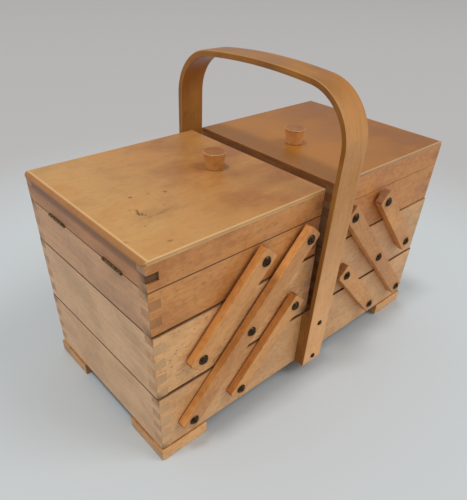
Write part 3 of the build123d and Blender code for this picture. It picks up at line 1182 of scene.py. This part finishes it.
@dataclass(frozen=True)
class Linkage:
    """Pivots of the right half, as (x, z) in metres; a link climbs inwards and up."""

    reach: float = 74.5 * MM
    rise: float = 79.0 * MM
    low: float = 46.7 * MM
    long_x: float = 185.5 * MM
    lower_x: float = 120.0 * MM
    upper_x: float = 173.5 * MM

    def at(self, x: float, steps: int, level: int) -> tuple[float, float]:
        """Pivot that lies a number of steps up a link that starts at x on a level."""
        return x - steps * self.reach, self.low + (level + steps) * self.rise

    def pivots(self, tier: Tier) -> list[tuple[float, float]]:
        """Pivots on one tier of the right half.

        Args:
            tier: The tier.

        Returns:
            Pivots, from the long link's on.
        """
        return {
            Tier.BOX: [self.at(self.long_x, 0, 0), self.at(self.lower_x, 0, 0)],
            Tier.MIDDLE_TRAY: [self.at(self.long_x, 1, 0), self.at(self.lower_x, 1, 0),
                               self.at(self.upper_x, 0, 1)],
            Tier.TOP_TRAY: [self.at(self.long_x, 2, 0), self.at(self.upper_x, 1, 1)],
        }[tier]


@dataclass(frozen=True)
class Link:
    """Pair of flat wooden links with rounded corners and eased edges, on the front and the back."""

    node: str
    body: str
    start: tuple[float, float]
    spans: int
    side: int
    linkage: Linkage = Linkage()
    width: float = 20 * MM
    thickness: float = 9 * MM
    past_pivot: float = 11.5 * MM
    corner: float = 2.5 * MM
    ease: float = 1.0 * MM

    def solid(self, face: int) -> Solid:
        """Rounded slab: the outline steps in by e (1 - sin a) at the depth e (1 - cos a).

        Args:
            face: Side of the carrier, -1 for the front and 1 for the back.

        Returns:
            The link there.
        """
        step = math.hypot(self.linkage.reach, self.linkage.rise)
        half = (self.spans * step) / 2 + self.past_pivot
        centre, ring = rounded_corners(half, self.width / 2, self.corner, 7)
        inset, depth = quarter(self.ease, 5)
        inset = np.concatenate([inset, inset[::-1]])
        depth = np.concatenate([depth, self.thickness - depth[::-1]])
        flat = centre + (self.corner - inset)[:, None, None] * ring
        loops = np.concatenate([flat, np.broadcast_to(
            depth[:, None, None], (len(depth), len(ring), 1))], axis=2)
        fibre = np.array([-self.side * self.linkage.reach, 0, self.linkage.rise]) / step
        out = np.array([0, face, 0])
        axes = np.stack([fibre, np.cross(out, fibre), out])
        x, z = self.start
        back = face * (box_of(self.node)[1][1] - self.thickness)
        origin = np.array([self.side * x, back, z]) + fibre * self.spans * step / 2
        made = loft(loops).moved(axes, origin)
        return made.cut_from(f"{self.node}_{face}", fibre, out)

    def build(self) -> None:
        """Build the front and the back link as one piece."""
        timber = LONG_LINK_BEECH if self.spans > 1 else LINK_BEECH
        stand(Solid.joined([self.solid(-1), self.solid(1)]), self.node, self.body, timber,
              "link_wood")


@dataclass(frozen=True)
class Screw:
    """Round-head wood screw with a driver slot, in its own frame: head up the third axis."""

    head_radius: float = 5.6 * MM
    head_height: float = 3.2 * MM
    slot_width: float = 1.1 * MM
    slot_depth: float = 1.5 * MM
    shank_radius: float = 2.0 * MM

    def head(self) -> Solid:
        """Dome sqrt(R^2 - u^2 - v^2) over rows of v, where the rows of the slot drop to its floor.

        Returns:
            The head, seated at height 0.
        """
        sphere = (self.head_radius ** 2 + self.head_height ** 2) / (2 * self.head_height)
        half = self.slot_width / 2
        swing = np.linspace(0, np.pi / 2, 9)
        far = half + (self.head_radius - half) * np.sin(swing)
        v = np.concatenate([-far[::-1], [-half, half], far])
        in_slot = np.zeros(len(v), bool)
        in_slot[len(far):len(far) + 2] = True
        t = np.sin(np.linspace(-np.pi / 2, np.pi / 2, 21))
        u = t[None] * np.sqrt(np.maximum(self.head_radius ** 2 - v ** 2, 0))[:, None]
        v = np.broadcast_to(v[:, None], u.shape)
        dome = np.sqrt(sphere ** 2 - u ** 2 - v ** 2) - (sphere - self.head_height)
        floor = self.head_height - self.slot_depth
        top = np.where(in_slot[:, None], np.minimum(dome, floor), dome)
        return sheet_solid(u, v, np.maximum(top, 0), np.zeros_like(top)).reworked()

    def shank(self, length: float, collar: tuple[float, float, float] = (0, 0, 0)) -> Solid:
        """Turned shank below the head, with a collar of a radius between two depths.

        Args:
            length: Length below the seat.
            collar: Radius, near depth and far depth.

        Returns:
            The shank.
        """
        radius, near, deep = collar
        core = [self.shank_radius] * 2
        if not radius:
            return lathe(core, [-length, 0.0], 24)
        return lathe(core + [radius] * 2 + core, [-length, -deep, -deep, -near, -near, 0.0], 24)


@dataclass(frozen=True)
class ScrewSet:
    """Every screw of one CAD node, front and back."""

    node: str
    body: str
    places: Sequence[tuple[float, float, float]]
    screw: Screw
    shank: float
    collar: tuple[float, float, float] = (0, 0, 0)

    def build(self) -> None:
        """Place one screw at each (x, seat, z), its slot turned by a draw of its own."""
        draw = np.random.default_rng(zlib.crc32(self.node.encode()))
        single = Solid.joined([self.screw.head(), self.screw.shank(self.shank, self.collar)])
        placed = []
        for place in self.places:
            turn = draw.uniform(0, np.pi)
            along = np.array([math.cos(turn), 0, math.sin(turn)])
            out = np.array([0, math.copysign(1, place[1]), 0])
            placed.append(single.moved([along, np.cross(out, along), out], place))
        stand(Solid.joined(placed), self.node, self.body, BROWNED_STEEL, "dark_screw",
              f"screws_{self.node}")


def pivot_screws(node: str, body: str, tier: Tier, sides: Sequence[int]) -> ScrewSet:
    """Shoulder screws of one tier, seated just clear of the links.

    Args:
        node: CAD node of the screws.
        body: Body that they move with.
        tier: Tier that they are screwed to.
        sides: Halves that they serve, -1 for the left and 1 for the right.

    Returns:
        The screws, each with a collar from the back of its link to the wall of the tier.
    """
    clearance, past_link, into_wall, collar_radius = 0.2 * MM, 0.35 * MM, 9.5 * MM, 4 * MM
    seat = box_of("long_links_left")[1][1] + clearance
    wall = seat - box_of(f"{tier.value}_back_board")[1][1]
    places = [(side * x, face * seat, z) for side in sides for x, z in Linkage().pivots(tier)
              for face in (-1, 1)]
    return ScrewSet(node, body, places, Screw(), wall + into_wall,
                    (collar_radius, Link.thickness + past_link, wall))


# ---- carrying hoop, spacers and feet ---------------------------------------------------------
@dataclass(frozen=True)
class Hoop:
    """Steam-bent strip, screwed to the box sides, that rises over the lids.

    Its inner face runs up a straight leg, round a shoulder and over a shallow crown. Both legs
    lean to the front by the same angle, and the crest of the crown stands in front of the middle.

    Attributes:
        width: Size across the strip, and thickness through it.
        foot_y: Half the way between the feet, whose middle is shifted back by back_shift.
        foot_z: Height of the feet.
        top: Height of the crest, which stands at crest_y.
        lean: Angle of the legs to the front.
        shoulder_radius: Inner radius of the bend, and crown_radius that of the crown.
        ease: Rounding of the long edges; the feet are cut with a chamfer foot_inset.
        step: Length of a facet along the strip.
        side_lean: Share of a face's normal across the strip from which it is a side.
        in_log: Where the strip lies in its log, across it and outwards from its heart.
        knot: Place of the knot, with its width and how dark it is.
        bare: How strong the painted highlight along the long edges is.
        sun: Heights, and how much painted light pales the front there; the back has the
        share back_sun of it.
    """

    width: float = 33 * MM
    thickness: float = 6.2 * MM
    foot_y: float = 117.7 * MM
    back_shift: float = 0.7 * MM
    foot_z: float = 16 * MM
    top: float = 345.55 * MM
    crest_y: float = -11.5 * MM
    lean: float = math.radians(0.76)
    shoulder_radius: float = 50 * MM
    crown_radius: float = 715 * MM
    ease: float = 1.3 * MM
    step: float = 2.5 * MM
    knot: tuple[float, float, float] = (-10.8 * MM, 117.2 * MM, 263.0 * MM)
    knot_width: float = 2.6 * MM
    knot_dark: float = 0.55
    bare: float = 0.5
    sun: tuple = ((0.016, 0.1, 0.2, 0.3, 0.342), (1.0, 0.85, 0.38, 0.37, 0.0))
    back_sun: float = 0.15
    foot_inset: float = 0.8 * MM
    side_lean: float = 0.72
    in_log: tuple[float, float] = (10 * MM, 70 * MM)

    def leg_y(self, z: float, side: int) -> float:
        """Inner face of the front (side -1) or back (side 1) leg at the height z."""
        return self.back_shift + side * self.foot_y - math.tan(self.lean) * (z - self.foot_z)

    def half(self, side: int) -> Array:
        """Points and outward normals (y, z) of the inner face, from one foot to the crest.

        The shoulder's centre lies its own radius inside the leg, and the crown's radius less its
        own from the centre of the crown; u is how far up the leg that is, from a quadratic.

        Args:
            side: Foot to start from, -1 for the front and 1 for the back.

        Returns:
            Rows of a point and its normal.
        """
        up = np.array([-math.sin(self.lean), math.cos(self.lean)])
        out = side * np.array([math.cos(self.lean), math.sin(self.lean)])
        foot = np.array([self.leg_y(self.foot_z, side), self.foot_z])
        crown = np.array([self.crest_y, self.top - self.thickness - self.crown_radius])
        away = foot - self.shoulder_radius * out - crown
        b = away @ up
        c = away @ away - (self.crown_radius - self.shoulder_radius) ** 2
        u = math.sqrt(b * b - c) - b
        centre = foot - self.shoulder_radius * out + u * up
        first = math.atan2(out[1], out[0])
        last = math.atan2(*(centre - crown)[::-1])
        return np.concatenate([
            self.line(foot, foot + u * up, out),
            self.arc(centre, self.shoulder_radius, first % (2 * math.pi), last)[1:],
            self.arc(crown, self.crown_radius, last, math.pi / 2)[1:]])

    def path(self) -> tuple[Array, Array]:
        """Points and outward normals of the inner face, from the front foot to the back one."""
        whole = np.concatenate([self.half(-1), self.half(1)[-2::-1]])
        return whole[:, :2], whole[:, 2:]

    def line(self, start: Array, end: Array, normal: Array) -> Array:
        """Straight stretch with a constant normal.

        Args:
            start: First point.
            end: Last point.
            normal: Normal of every point.

        Returns:
            Rows of a point and its normal.
        """
        count = max(2, round(math.dist(start, end) / self.step))
        points = start + np.linspace(0, 1, count)[:, None] * (end - start)
        return np.concatenate([points, np.broadcast_to(normal, points.shape)], axis=1)

    def arc(self, centre: Array, radius: float, start: float, end: float) -> Array:
        """Arc round a centre, with its normals.

        Args:
            centre: Centre of the arc.
            radius: Its radius.
            start: First angle, in radians.
            end: Last angle.

        Returns:
            Rows of a point and its normal.
        """
        count = max(8, round(radius * abs(end - start) / self.step))
        angle = np.linspace(start, end, count)
        normal = np.stack([np.cos(angle), np.sin(angle)], axis=1)
        return np.concatenate([centre + radius * normal, normal], axis=1)

    def section(self, inset: float) -> Array:
        """Rounded rectangle in (across the strip, through it), stepped in by an inset.

        Args:
            inset: How far the outline steps in.

        Returns:
            Its points, in order.
        """
        steps = 6
        centre, ring = rounded_corners(self.width / 2, self.thickness / 2, self.ease, steps)
        first, *turned, last = np.split(centre + (self.ease - inset) * ring, 4)
        flat = np.linspace(1, -1, 16)[1:-1, None] * (self.width / 2 - self.ease, 0)
        upper = flat + (0, self.thickness / 2 - inset)
        return np.concatenate([first, upper, *turned, -upper, last])

    def solid(self) -> Solid:
        """Carry the section along the path; the grain follows the bend.

        The feet are sawn level, so there the section lies level as well.

        Returns:
            The finished strip.
        """
        points, normals = self.path()
        level = points[:, 1] < self.foot_z + self.foot_inset
        normals[level] = normals[level] / np.abs(normals[level, :1]) * (1, 0)
        run = np.concatenate([[0], np.cumsum(np.linalg.norm(np.diff(points, axis=0), axis=1))])
        insets = np.zeros(len(points))
        insets[[0, -1]] = self.foot_inset
        sections = np.stack([self.section(inset) for inset in insets])
        through = sections[..., 1] + self.thickness / 2
        loops = np.stack([sections[..., 0],
                          points[:, None, 0] + normals[:, None, 0] * through,
                          points[:, None, 1] + normals[:, None, 1] * through], axis=-1)
        made = loft(loops)
        grain = np.stack([np.broadcast_to(run[:, None], through.shape),
                          sections[..., 0] + self.in_log[0], through + self.in_log[1]], axis=-1)
        facing = made.normals()
        sideways = np.abs(facing[:, 0]) > self.side_lean * np.linalg.norm(facing, axis=1)
        cuts = np.where(sideways, Cut.EDGE, Cut.FACE)
        cuts[made.counts > 4] = Cut.END
        return replace(made, grain=grain.reshape(-1, 3), cuts=cuts)

    def build(self) -> None:
        """Build the hoop, with its painted light in straight stretches over the height."""
        made = self.solid()
        far = np.linalg.norm(made.points - self.knot, axis=1)
        inward = np.array([self.width, self.thickness]) / 2 - np.abs(self.section(0))
        arris = ((inward < self.ease) & (inward > 0.1 * self.ease)).all(1)
        # Painted light: the front leg paler, less and less up to the crest; the back has little.
        share = np.where(made.points[:, 1] < self.crest_y, 1.0, self.back_sun)
        # Painted highlight along the long edges.
        stand(made, "handle_hoop", "carrier_base", BENT_BEECH, "bentwood",
              wear=self.knot_dark * bell(far, self.knot_width),
              rubbed=self.bare * np.tile(arris, len(made.points) // len(arris)),
              sun=share * np.interp(made.points[:, 2], *self.sun))


@dataclass(frozen=True)
class Spacers:
    """Wedges between the box and the legs of the hoop."""

    hoop: Hoop
    node: str = "handle_spacer_blocks"
    ease: float = 0.5 * MM

    def build(self) -> None:
        """Build both wedges: a four-sided outline in (y, z) carried across the hoop's width."""
        low, high = box_of(self.node)
        box_face = box_of("box_back_board")[1][1]
        placed = []
        for side in (-1, 1):
            outline = np.array([
                (side * box_face, low[2]), (self.hoop.leg_y(low[2], side), low[2]),
                (self.hoop.leg_y(high[2], side), high[2]), (side * box_face, high[2])])
            wedge = loft(np.stack([np.insert(outline, 0, x, axis=1) for x in (low[0], high[0])]))
            wedge = wedge.reworked(np.ones((len(wedge.points), 2), bool), self.ease)
            placed.append(wedge.cut_from(f"spacer_{side}", (0, 0, 1), (0, 1, 0)))
        stand(Solid.joined(placed), self.node, "carrier_base", BENT_BEECH, "beech",
              "timber_handle_spacers")


@dataclass(frozen=True)
class Feet:
    """Corner feet, each of two blocks butted together, the shorter one under painted shade."""

    node: str = "corner_feet"
    arm: float = 60 * MM
    width: float = 18 * MM
    ease: float = 0.9 * MM
    side_shade: float = 0.3

    def block(self, low: Array, high: Array, planes: Array) -> Solid:
        """Block between two corners, rounded where two of its outer planes (axis, place) meet.

        Args:
            low: Lowest corner.
            high: Highest corner.
            planes: One row for each plane.

        Returns:
            The block, without grain.
        """
        square = np.array([[0, 0], [1, 0], [1, 1], [0, 1]])
        outline = low[:2] + square * (high - low)[:2]
        made = loft(np.stack([np.insert(outline, 2, z, axis=1) for z in (low[2], high[2])]))
        marks = np.abs(made.points[:, planes[:, 0].astype(int)] - planes[:, 1]) < NEAR
        return made.reworked(marks, self.ease)

    def build(self) -> None:
        """Build a long and a short block at each corner."""
        low, high = box_of(self.node)
        placed = []
        for way in ((-1, -1), (-1, 1), (1, -1), (1, 1)):
            corner = np.where(np.array(way) > 0, high[:2], low[:2])
            along = corner - np.multiply(way, (self.arm, self.width))
            beside = corner - np.multiply(way, (self.width, self.arm))
            start = corner - np.multiply(way, (0, self.width))
            outer = [(0, corner[0]), (1, corner[1]), (2, low[2]), (2, high[2])]
            for name, a, b, end, axis in (("long", along, corner, (0, along[0]), 0),
                                          ("short", beside, start, (1, beside[1]), 1)):
                block = self.block(np.append(np.minimum(a, b), low[2]),
                                   np.append(np.maximum(a, b), high[2]), np.array(outer + [end]))
                fibre, across = np.eye(3)[[axis, 1 - axis]]
                placed.append(block.cut_from(f"foot_{name}_{way[0]}_{way[1]}", fibre, across))
        # Painted shade on the short blocks, whose faces turn to the carrier's ends.
        dark = np.repeat(np.tile([0.0, self.side_shade], 4), [len(block.points) for block in placed])
        stand(Solid.joined(placed), self.node, "carrier_base", FOOT_BEECH, "beech", wear=dark)


# ---- CAD nodes that stay ---------------------------------------------------------------------
def dress_node(node: str, material: Material) -> None:
    """Give a CAD node its finish.

    Args:
        node: Name of the CAD node.
        material: Its finish.
    """
    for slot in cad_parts[node].material_slots:
        slot.material = material
    log.info("%s: dressed in %s", node, material.name)


# ---- studio ----------------------------------------------------------------------------------
def aimed(place: Array, ahead: Array, roll: float = 0.0) -> Matrix:
    """Placement of a lamp or a camera that looks ahead, rolled by an angle in radians.

    Args:
        place: Where it stands.
        ahead: Direction it looks in.
        roll: Turn about it, in radians.

    Returns:
        The placement.
    """
    ahead = ahead / np.linalg.norm(ahead)
    level = np.cross(ahead, (0, 0, 1))
    level /= np.linalg.norm(level)
    up = np.cross(level, ahead)
    right = math.cos(roll) * level + math.sin(roll) * up
    above = math.cos(roll) * up - math.sin(roll) * level
    turn = Matrix(np.stack([right, above, -ahead], axis=1).tolist())
    return Matrix.Translation(place.tolist()) @ turn.to_4x4()


@dataclass(frozen=True)
class Lamp:
    """Square soft lamp of white light, aimed at the carrier."""

    name: str
    place: tuple[float, float, float]
    size: float
    power: float
    target: tuple[float, float, float] = (0, 0, 0.15)

    def build(self) -> None:
        """Hang the lamp and aim it."""
        data = bpy.data.lights.new(self.name, "AREA")
        data.shape, data.size, data.energy = "SQUARE", self.size, self.power
        lamp = bpy.data.objects.new(self.name, data)
        lamp.matrix_world = aimed(np.array(self.place), np.subtract(self.target, self.place))
        bpy.context.scene.collection.objects.link(lamp)


@dataclass(frozen=True)
class Camera:
    """Camera above the front left corner, on a square sensor as tall as the frame.

    Attributes:
        place: Where it stands.
        turns: Yaw from the back, pitch and roll, in degrees.
        focal: Focal length, in pixels of the frame.
        centre: Where its axis meets the frame, in pixels from the frame's top left.
        size: Width and height of the frame, in pixels.
        sensor: Side of the sensor, in mm.
    """

    place: tuple = (-374.56 * MM, -363.15 * MM, 442.83 * MM)
    turns: tuple[float, float, float] = (-43.62, -38.56, 2.76)
    focal: float = 474.19
    centre: tuple[float, float] = (230.65, 306.21)
    size: tuple[int, int] = (467, 500)
    sensor: float = 36.0

    def build(self) -> None:
        """Place the camera and make it the scene's own."""
        yaw, pitch, roll = (math.radians(turn) for turn in self.turns)
        ahead = np.array([math.sin(-yaw) * math.cos(pitch), math.cos(yaw) * math.cos(pitch),
                          math.sin(pitch)])
        width, height = self.size
        data = bpy.data.cameras.new("camera")
        data.sensor_width = self.sensor
        data.lens = self.focal * self.sensor / height
        data.shift_x = (width / 2 - self.centre[0]) / height
        data.shift_y = (self.centre[1] - height / 2) / height
        camera = bpy.data.objects.new("camera", data)
        camera.matrix_world = aimed(np.array(self.place), ahead, roll)
        bpy.context.scene.collection.objects.link(camera)
        bpy.context.scene.camera = camera


@dataclass(frozen=True)
class Studio:
    """Pale floor, soft lamps and the camera."""

    floor_near: str = "#C3C9CB"
    floor_far: str = "#B6B4B3"
    floor_radius: float = 14.0
    sky: str = "#A9A8A7"
    fill: float = 0.58
    lamps: tuple = (Lamp("key_front_right", (4.9, -6.0, 9.34), 5.0, 380.0),
                    Lamp("ceiling", (-2.9, 0.6, 11.7), 1.8, 455.0))
    camera: Camera = Camera()

    def build(self) -> None:
        """Build the floor, the world, the lamps and the camera."""
        self.floor()
        self.world()
        for lamp in self.lamps:
            lamp.build()
        self.camera.build()

    def floor(self) -> None:
        """Flat round floor of matt board whose colour falls from near to far."""
        ring = circle(64) * self.floor_radius
        mesh = bpy.data.meshes.new("floor")
        mesh.from_pydata(ring.tolist(), [], [list(range(len(ring)))])
        material, shader = new_material("pale_floor")
        share = shader.ramp(shader.far(shader.place()), 0.4, 0.85, smooth=True)
        shader.surface({"Base Color": shader.mix(share, self.floor_near, self.floor_far),
                        "Roughness": 0.55})
        mesh.materials.append(material)
        floor = bpy.data.objects.new("floor", mesh)
        bpy.context.scene.collection.objects.link(floor)

    def world(self) -> None:
        """Even pale light all round; rays from the camera and mirror rays see the sky colour."""
        world = bpy.data.worlds.new("studio")
        bpy.context.scene.world = world
        world.use_nodes = True
        shader = Shader(world.node_tree)
        path = shader.add("LightPath").outputs
        seen = shader.math("MAXIMUM", path["Is Camera Ray"], path["Is Glossy Ray"])
        light, sky = (shader.add("Background", inputs={"Color": linear(colour), "Strength": power})
                      for colour, power in (("#FFFFFF", self.fill), (self.sky, 1.0)))
        mixed = shader.add("MixShader", inputs={0: seen, 1: light.outputs[0], 2: sky.outputs[0]})
        shader.add("OutputWorld", inputs={"Surface": mixed.outputs[0]})


# ---- the whole carrier -----------------------------------------------------------------------
# Marks on the left lid: from (x, y) to (x, y), width and darkness of each stroke, in mm.
LID_MARKS = (
    (-169.6, -6.9, -169, -7.4, 1.4, 0.96), (-151.7, -10.2, -151.2, -10.5, 1, 0.72),
    (-137, -16.2, -136.4, -16.6, 1.4, 0.96), (-183.3, -27.8, -183, -28.4, 0.8, 0.48),
    (-178.5, -31.7, -179.6, -36, 1, 0.84), (-180.2, -36, -181.2, -40.5, 1.1, 1),
    (-178, -40, -179.6, -42.6, 0.9, 0.96), (-176.5, -43.2, -177.6, -44.6, 0.8, 0.84),
    (-178.5, -49.5, -150.7, -46.3, 0.6, 0.42), (-170, -50.2, -158, -48.6, 0.6, 0.42),
    (-152.9, -37, -152.3, -37.6, 0.8, 0.54), (-189, -60.1, -187.4, -59.6, 1, 0.48),
    (-187, -91.4, -184.6, -91.9, 1.1, 0.66), (-215.7, -71.8, -213.6, -73, 0.9, 0.48),
)


@dataclass(frozen=True)
class Half:
    """Trays, lid and links of the left or the right half.

    Attributes:
        side: Which half it is.
        lid_timber: Timber of its lid panel.
        knob: Its knob.
        front_timber: Timber of its middle tray's front, if it is another than the back's.
        ease: Rounding of the middle tray's edges; the trays and rims above have less and less.
        seam_shade: How much painted shade darkens its seam edges.
        marks: Marks on its lid panel.
        streak: Where a band of heartwood and painted shade starts on the outer end of
        its lid, under its nose, and its width.
        broken: How far a finger of its lid rim has broken back.
        linkage: Its pivots.
    """

    side: str
    lid_timber: Timber
    knob: Knob
    front_timber: Optional[Timber] = None
    ease: float = 0.6 * MM
    seam_shade: float = 0.0
    marks: tuple = ()
    streak: Optional[tuple[float, float]] = None
    broken: float = 0.0
    linkage: Linkage = Linkage()

    def build(self) -> None:
        """Build every moving piece of the half."""
        middle, top, lid = (f"{name}_{self.side}" for name in ("middle_tray", "top_tray", "lid"))
        board = Board(8, ease=self.ease, seam_shade=self.seam_shade)
        Frame(middle, board, BASE_BEECH, LOWER_ENDS, self.front_timber, painted_gap_shade=0.5).build(middle)
        board = replace(board, rows=5, ease=0.65 * board.ease, notches=Notches())
        Frame(top, board, WALL_BEECH, UPPER_ENDS, painted_gap_shade=0.5).build(top)
        board = replace(board, rows=3, ease=0.7 * board.ease, notches=Notches(on_top=False),
                        top_eased=False, broken=self.broken)
        Frame(lid, board, WALL_BEECH, LID_ENDS, streak=self.streak, painted_gap_shade=0.25).build(lid)
        LidPanel(self.side, self.lid_timber, self.marks).build()
        self.knob.build()
        link = self.linkage
        for node, body, start, spans in (
                ("long_links", "long_link", link.at(link.long_x, 0, 0), 2),
                ("lower_short_links", "lower_link", link.at(link.lower_x, 0, 0), 1),
                ("upper_short_links", "upper_link", link.at(link.upper_x, 0, 1), 1)):
            Link(f"{node}_{self.side}", f"{body}_{self.side}", start, spans,
                 SIDES[self.side]).build()
        for tray, tier in ((middle, Tier.MIDDLE_TRAY), (top, Tier.TOP_TRAY)):
            pivot_screws(f"{tray}_pivot_screws", tray, tier, (SIDES[self.side],)).build()
        self.dress_kept()

    def dress_kept(self) -> None:
        """Dress the CAD nodes that stay as they are."""
        brass = AGED_BRASS.material()
        for tray in ("middle_tray", "top_tray"):
            dress_node(f"{tray}_{self.side}_bottom_panel", PLY.material(Cut.FACE, laid=True))
        for node in (f"top_tray_{self.side}_hinge_leaves", f"top_tray_{self.side}_hinge_pins",
                     f"lid_{self.side}_hinge_leaves"):
            dress_node(node, brass)
        dress_node(f"lid_{self.side}_knob_screw", BRIGHT_STEEL.material())


# The left half has been used more than the right one; painted shade darkens its seams.
HALVES = (
    Half("left", LEFT_LID, Knob("left", handled=0.22), PALE_BEECH, ease=1.1 * MM, seam_shade=0.75,
         marks=LID_MARKS, streak=(230 * MM, 6.5 * MM), broken=1.8 * MM),
    Half("right", RIGHT_LID, Knob("right", faded=0.35)),
)


@dataclass(frozen=True)
class Base:
    """Box with its feet, its hoop and their screws."""

    hoop: Hoop = Hoop()
    screw: Screw = Screw(3.6 * MM, 2.2 * MM, 0.9 * MM, 1.0 * MM, 1.75 * MM)
    screw_heights: tuple[float, float] = (26 * MM, 80.5 * MM)
    screw_length: float = 20 * MM

    def build(self) -> None:
        """Build every piece that stands still.

        A hoop screw's head sits where the leaning leg stands out most under it.
        """
        Frame("box", Board(8), BASE_BEECH, LOWER_ENDS, ends=("left_end", "right_end")).build(
            "carrier_base")
        Feet().build()
        self.hoop.build()
        Spacers(self.hoop).build()
        pivot_screws("box_pivot_screws", "carrier_base", Tier.BOX, tuple(SIDES.values())).build()
        rim = self.screw.head_radius
        through = self.hoop.thickness / math.cos(self.hoop.lean)
        places = []
        for side in (-1, 1):
            for z in self.screw_heights:
                proud = max(side * self.hoop.leg_y(z + edge, side) for edge in (-rim, rim))
                places.append((0.0, side * (proud + through), z))
        ScrewSet("handle_screws", "carrier_base", places, self.screw, self.screw_length).build()
        dress_node("box_bottom_panel", PLY.material(Cut.FACE, laid=True))


def main() -> None:
    """Build the carrier and its studio."""
    logging.basicConfig(level=logging.INFO, format="%(message)s")
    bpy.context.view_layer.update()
    Base().build()
    for half in HALVES:
        half.build()
    Studio().build()
    bpy.context.scene.view_settings.view_transform = "Standard"
    bpy.context.view_layer.update()


if __name__ == "__main__":
    main()
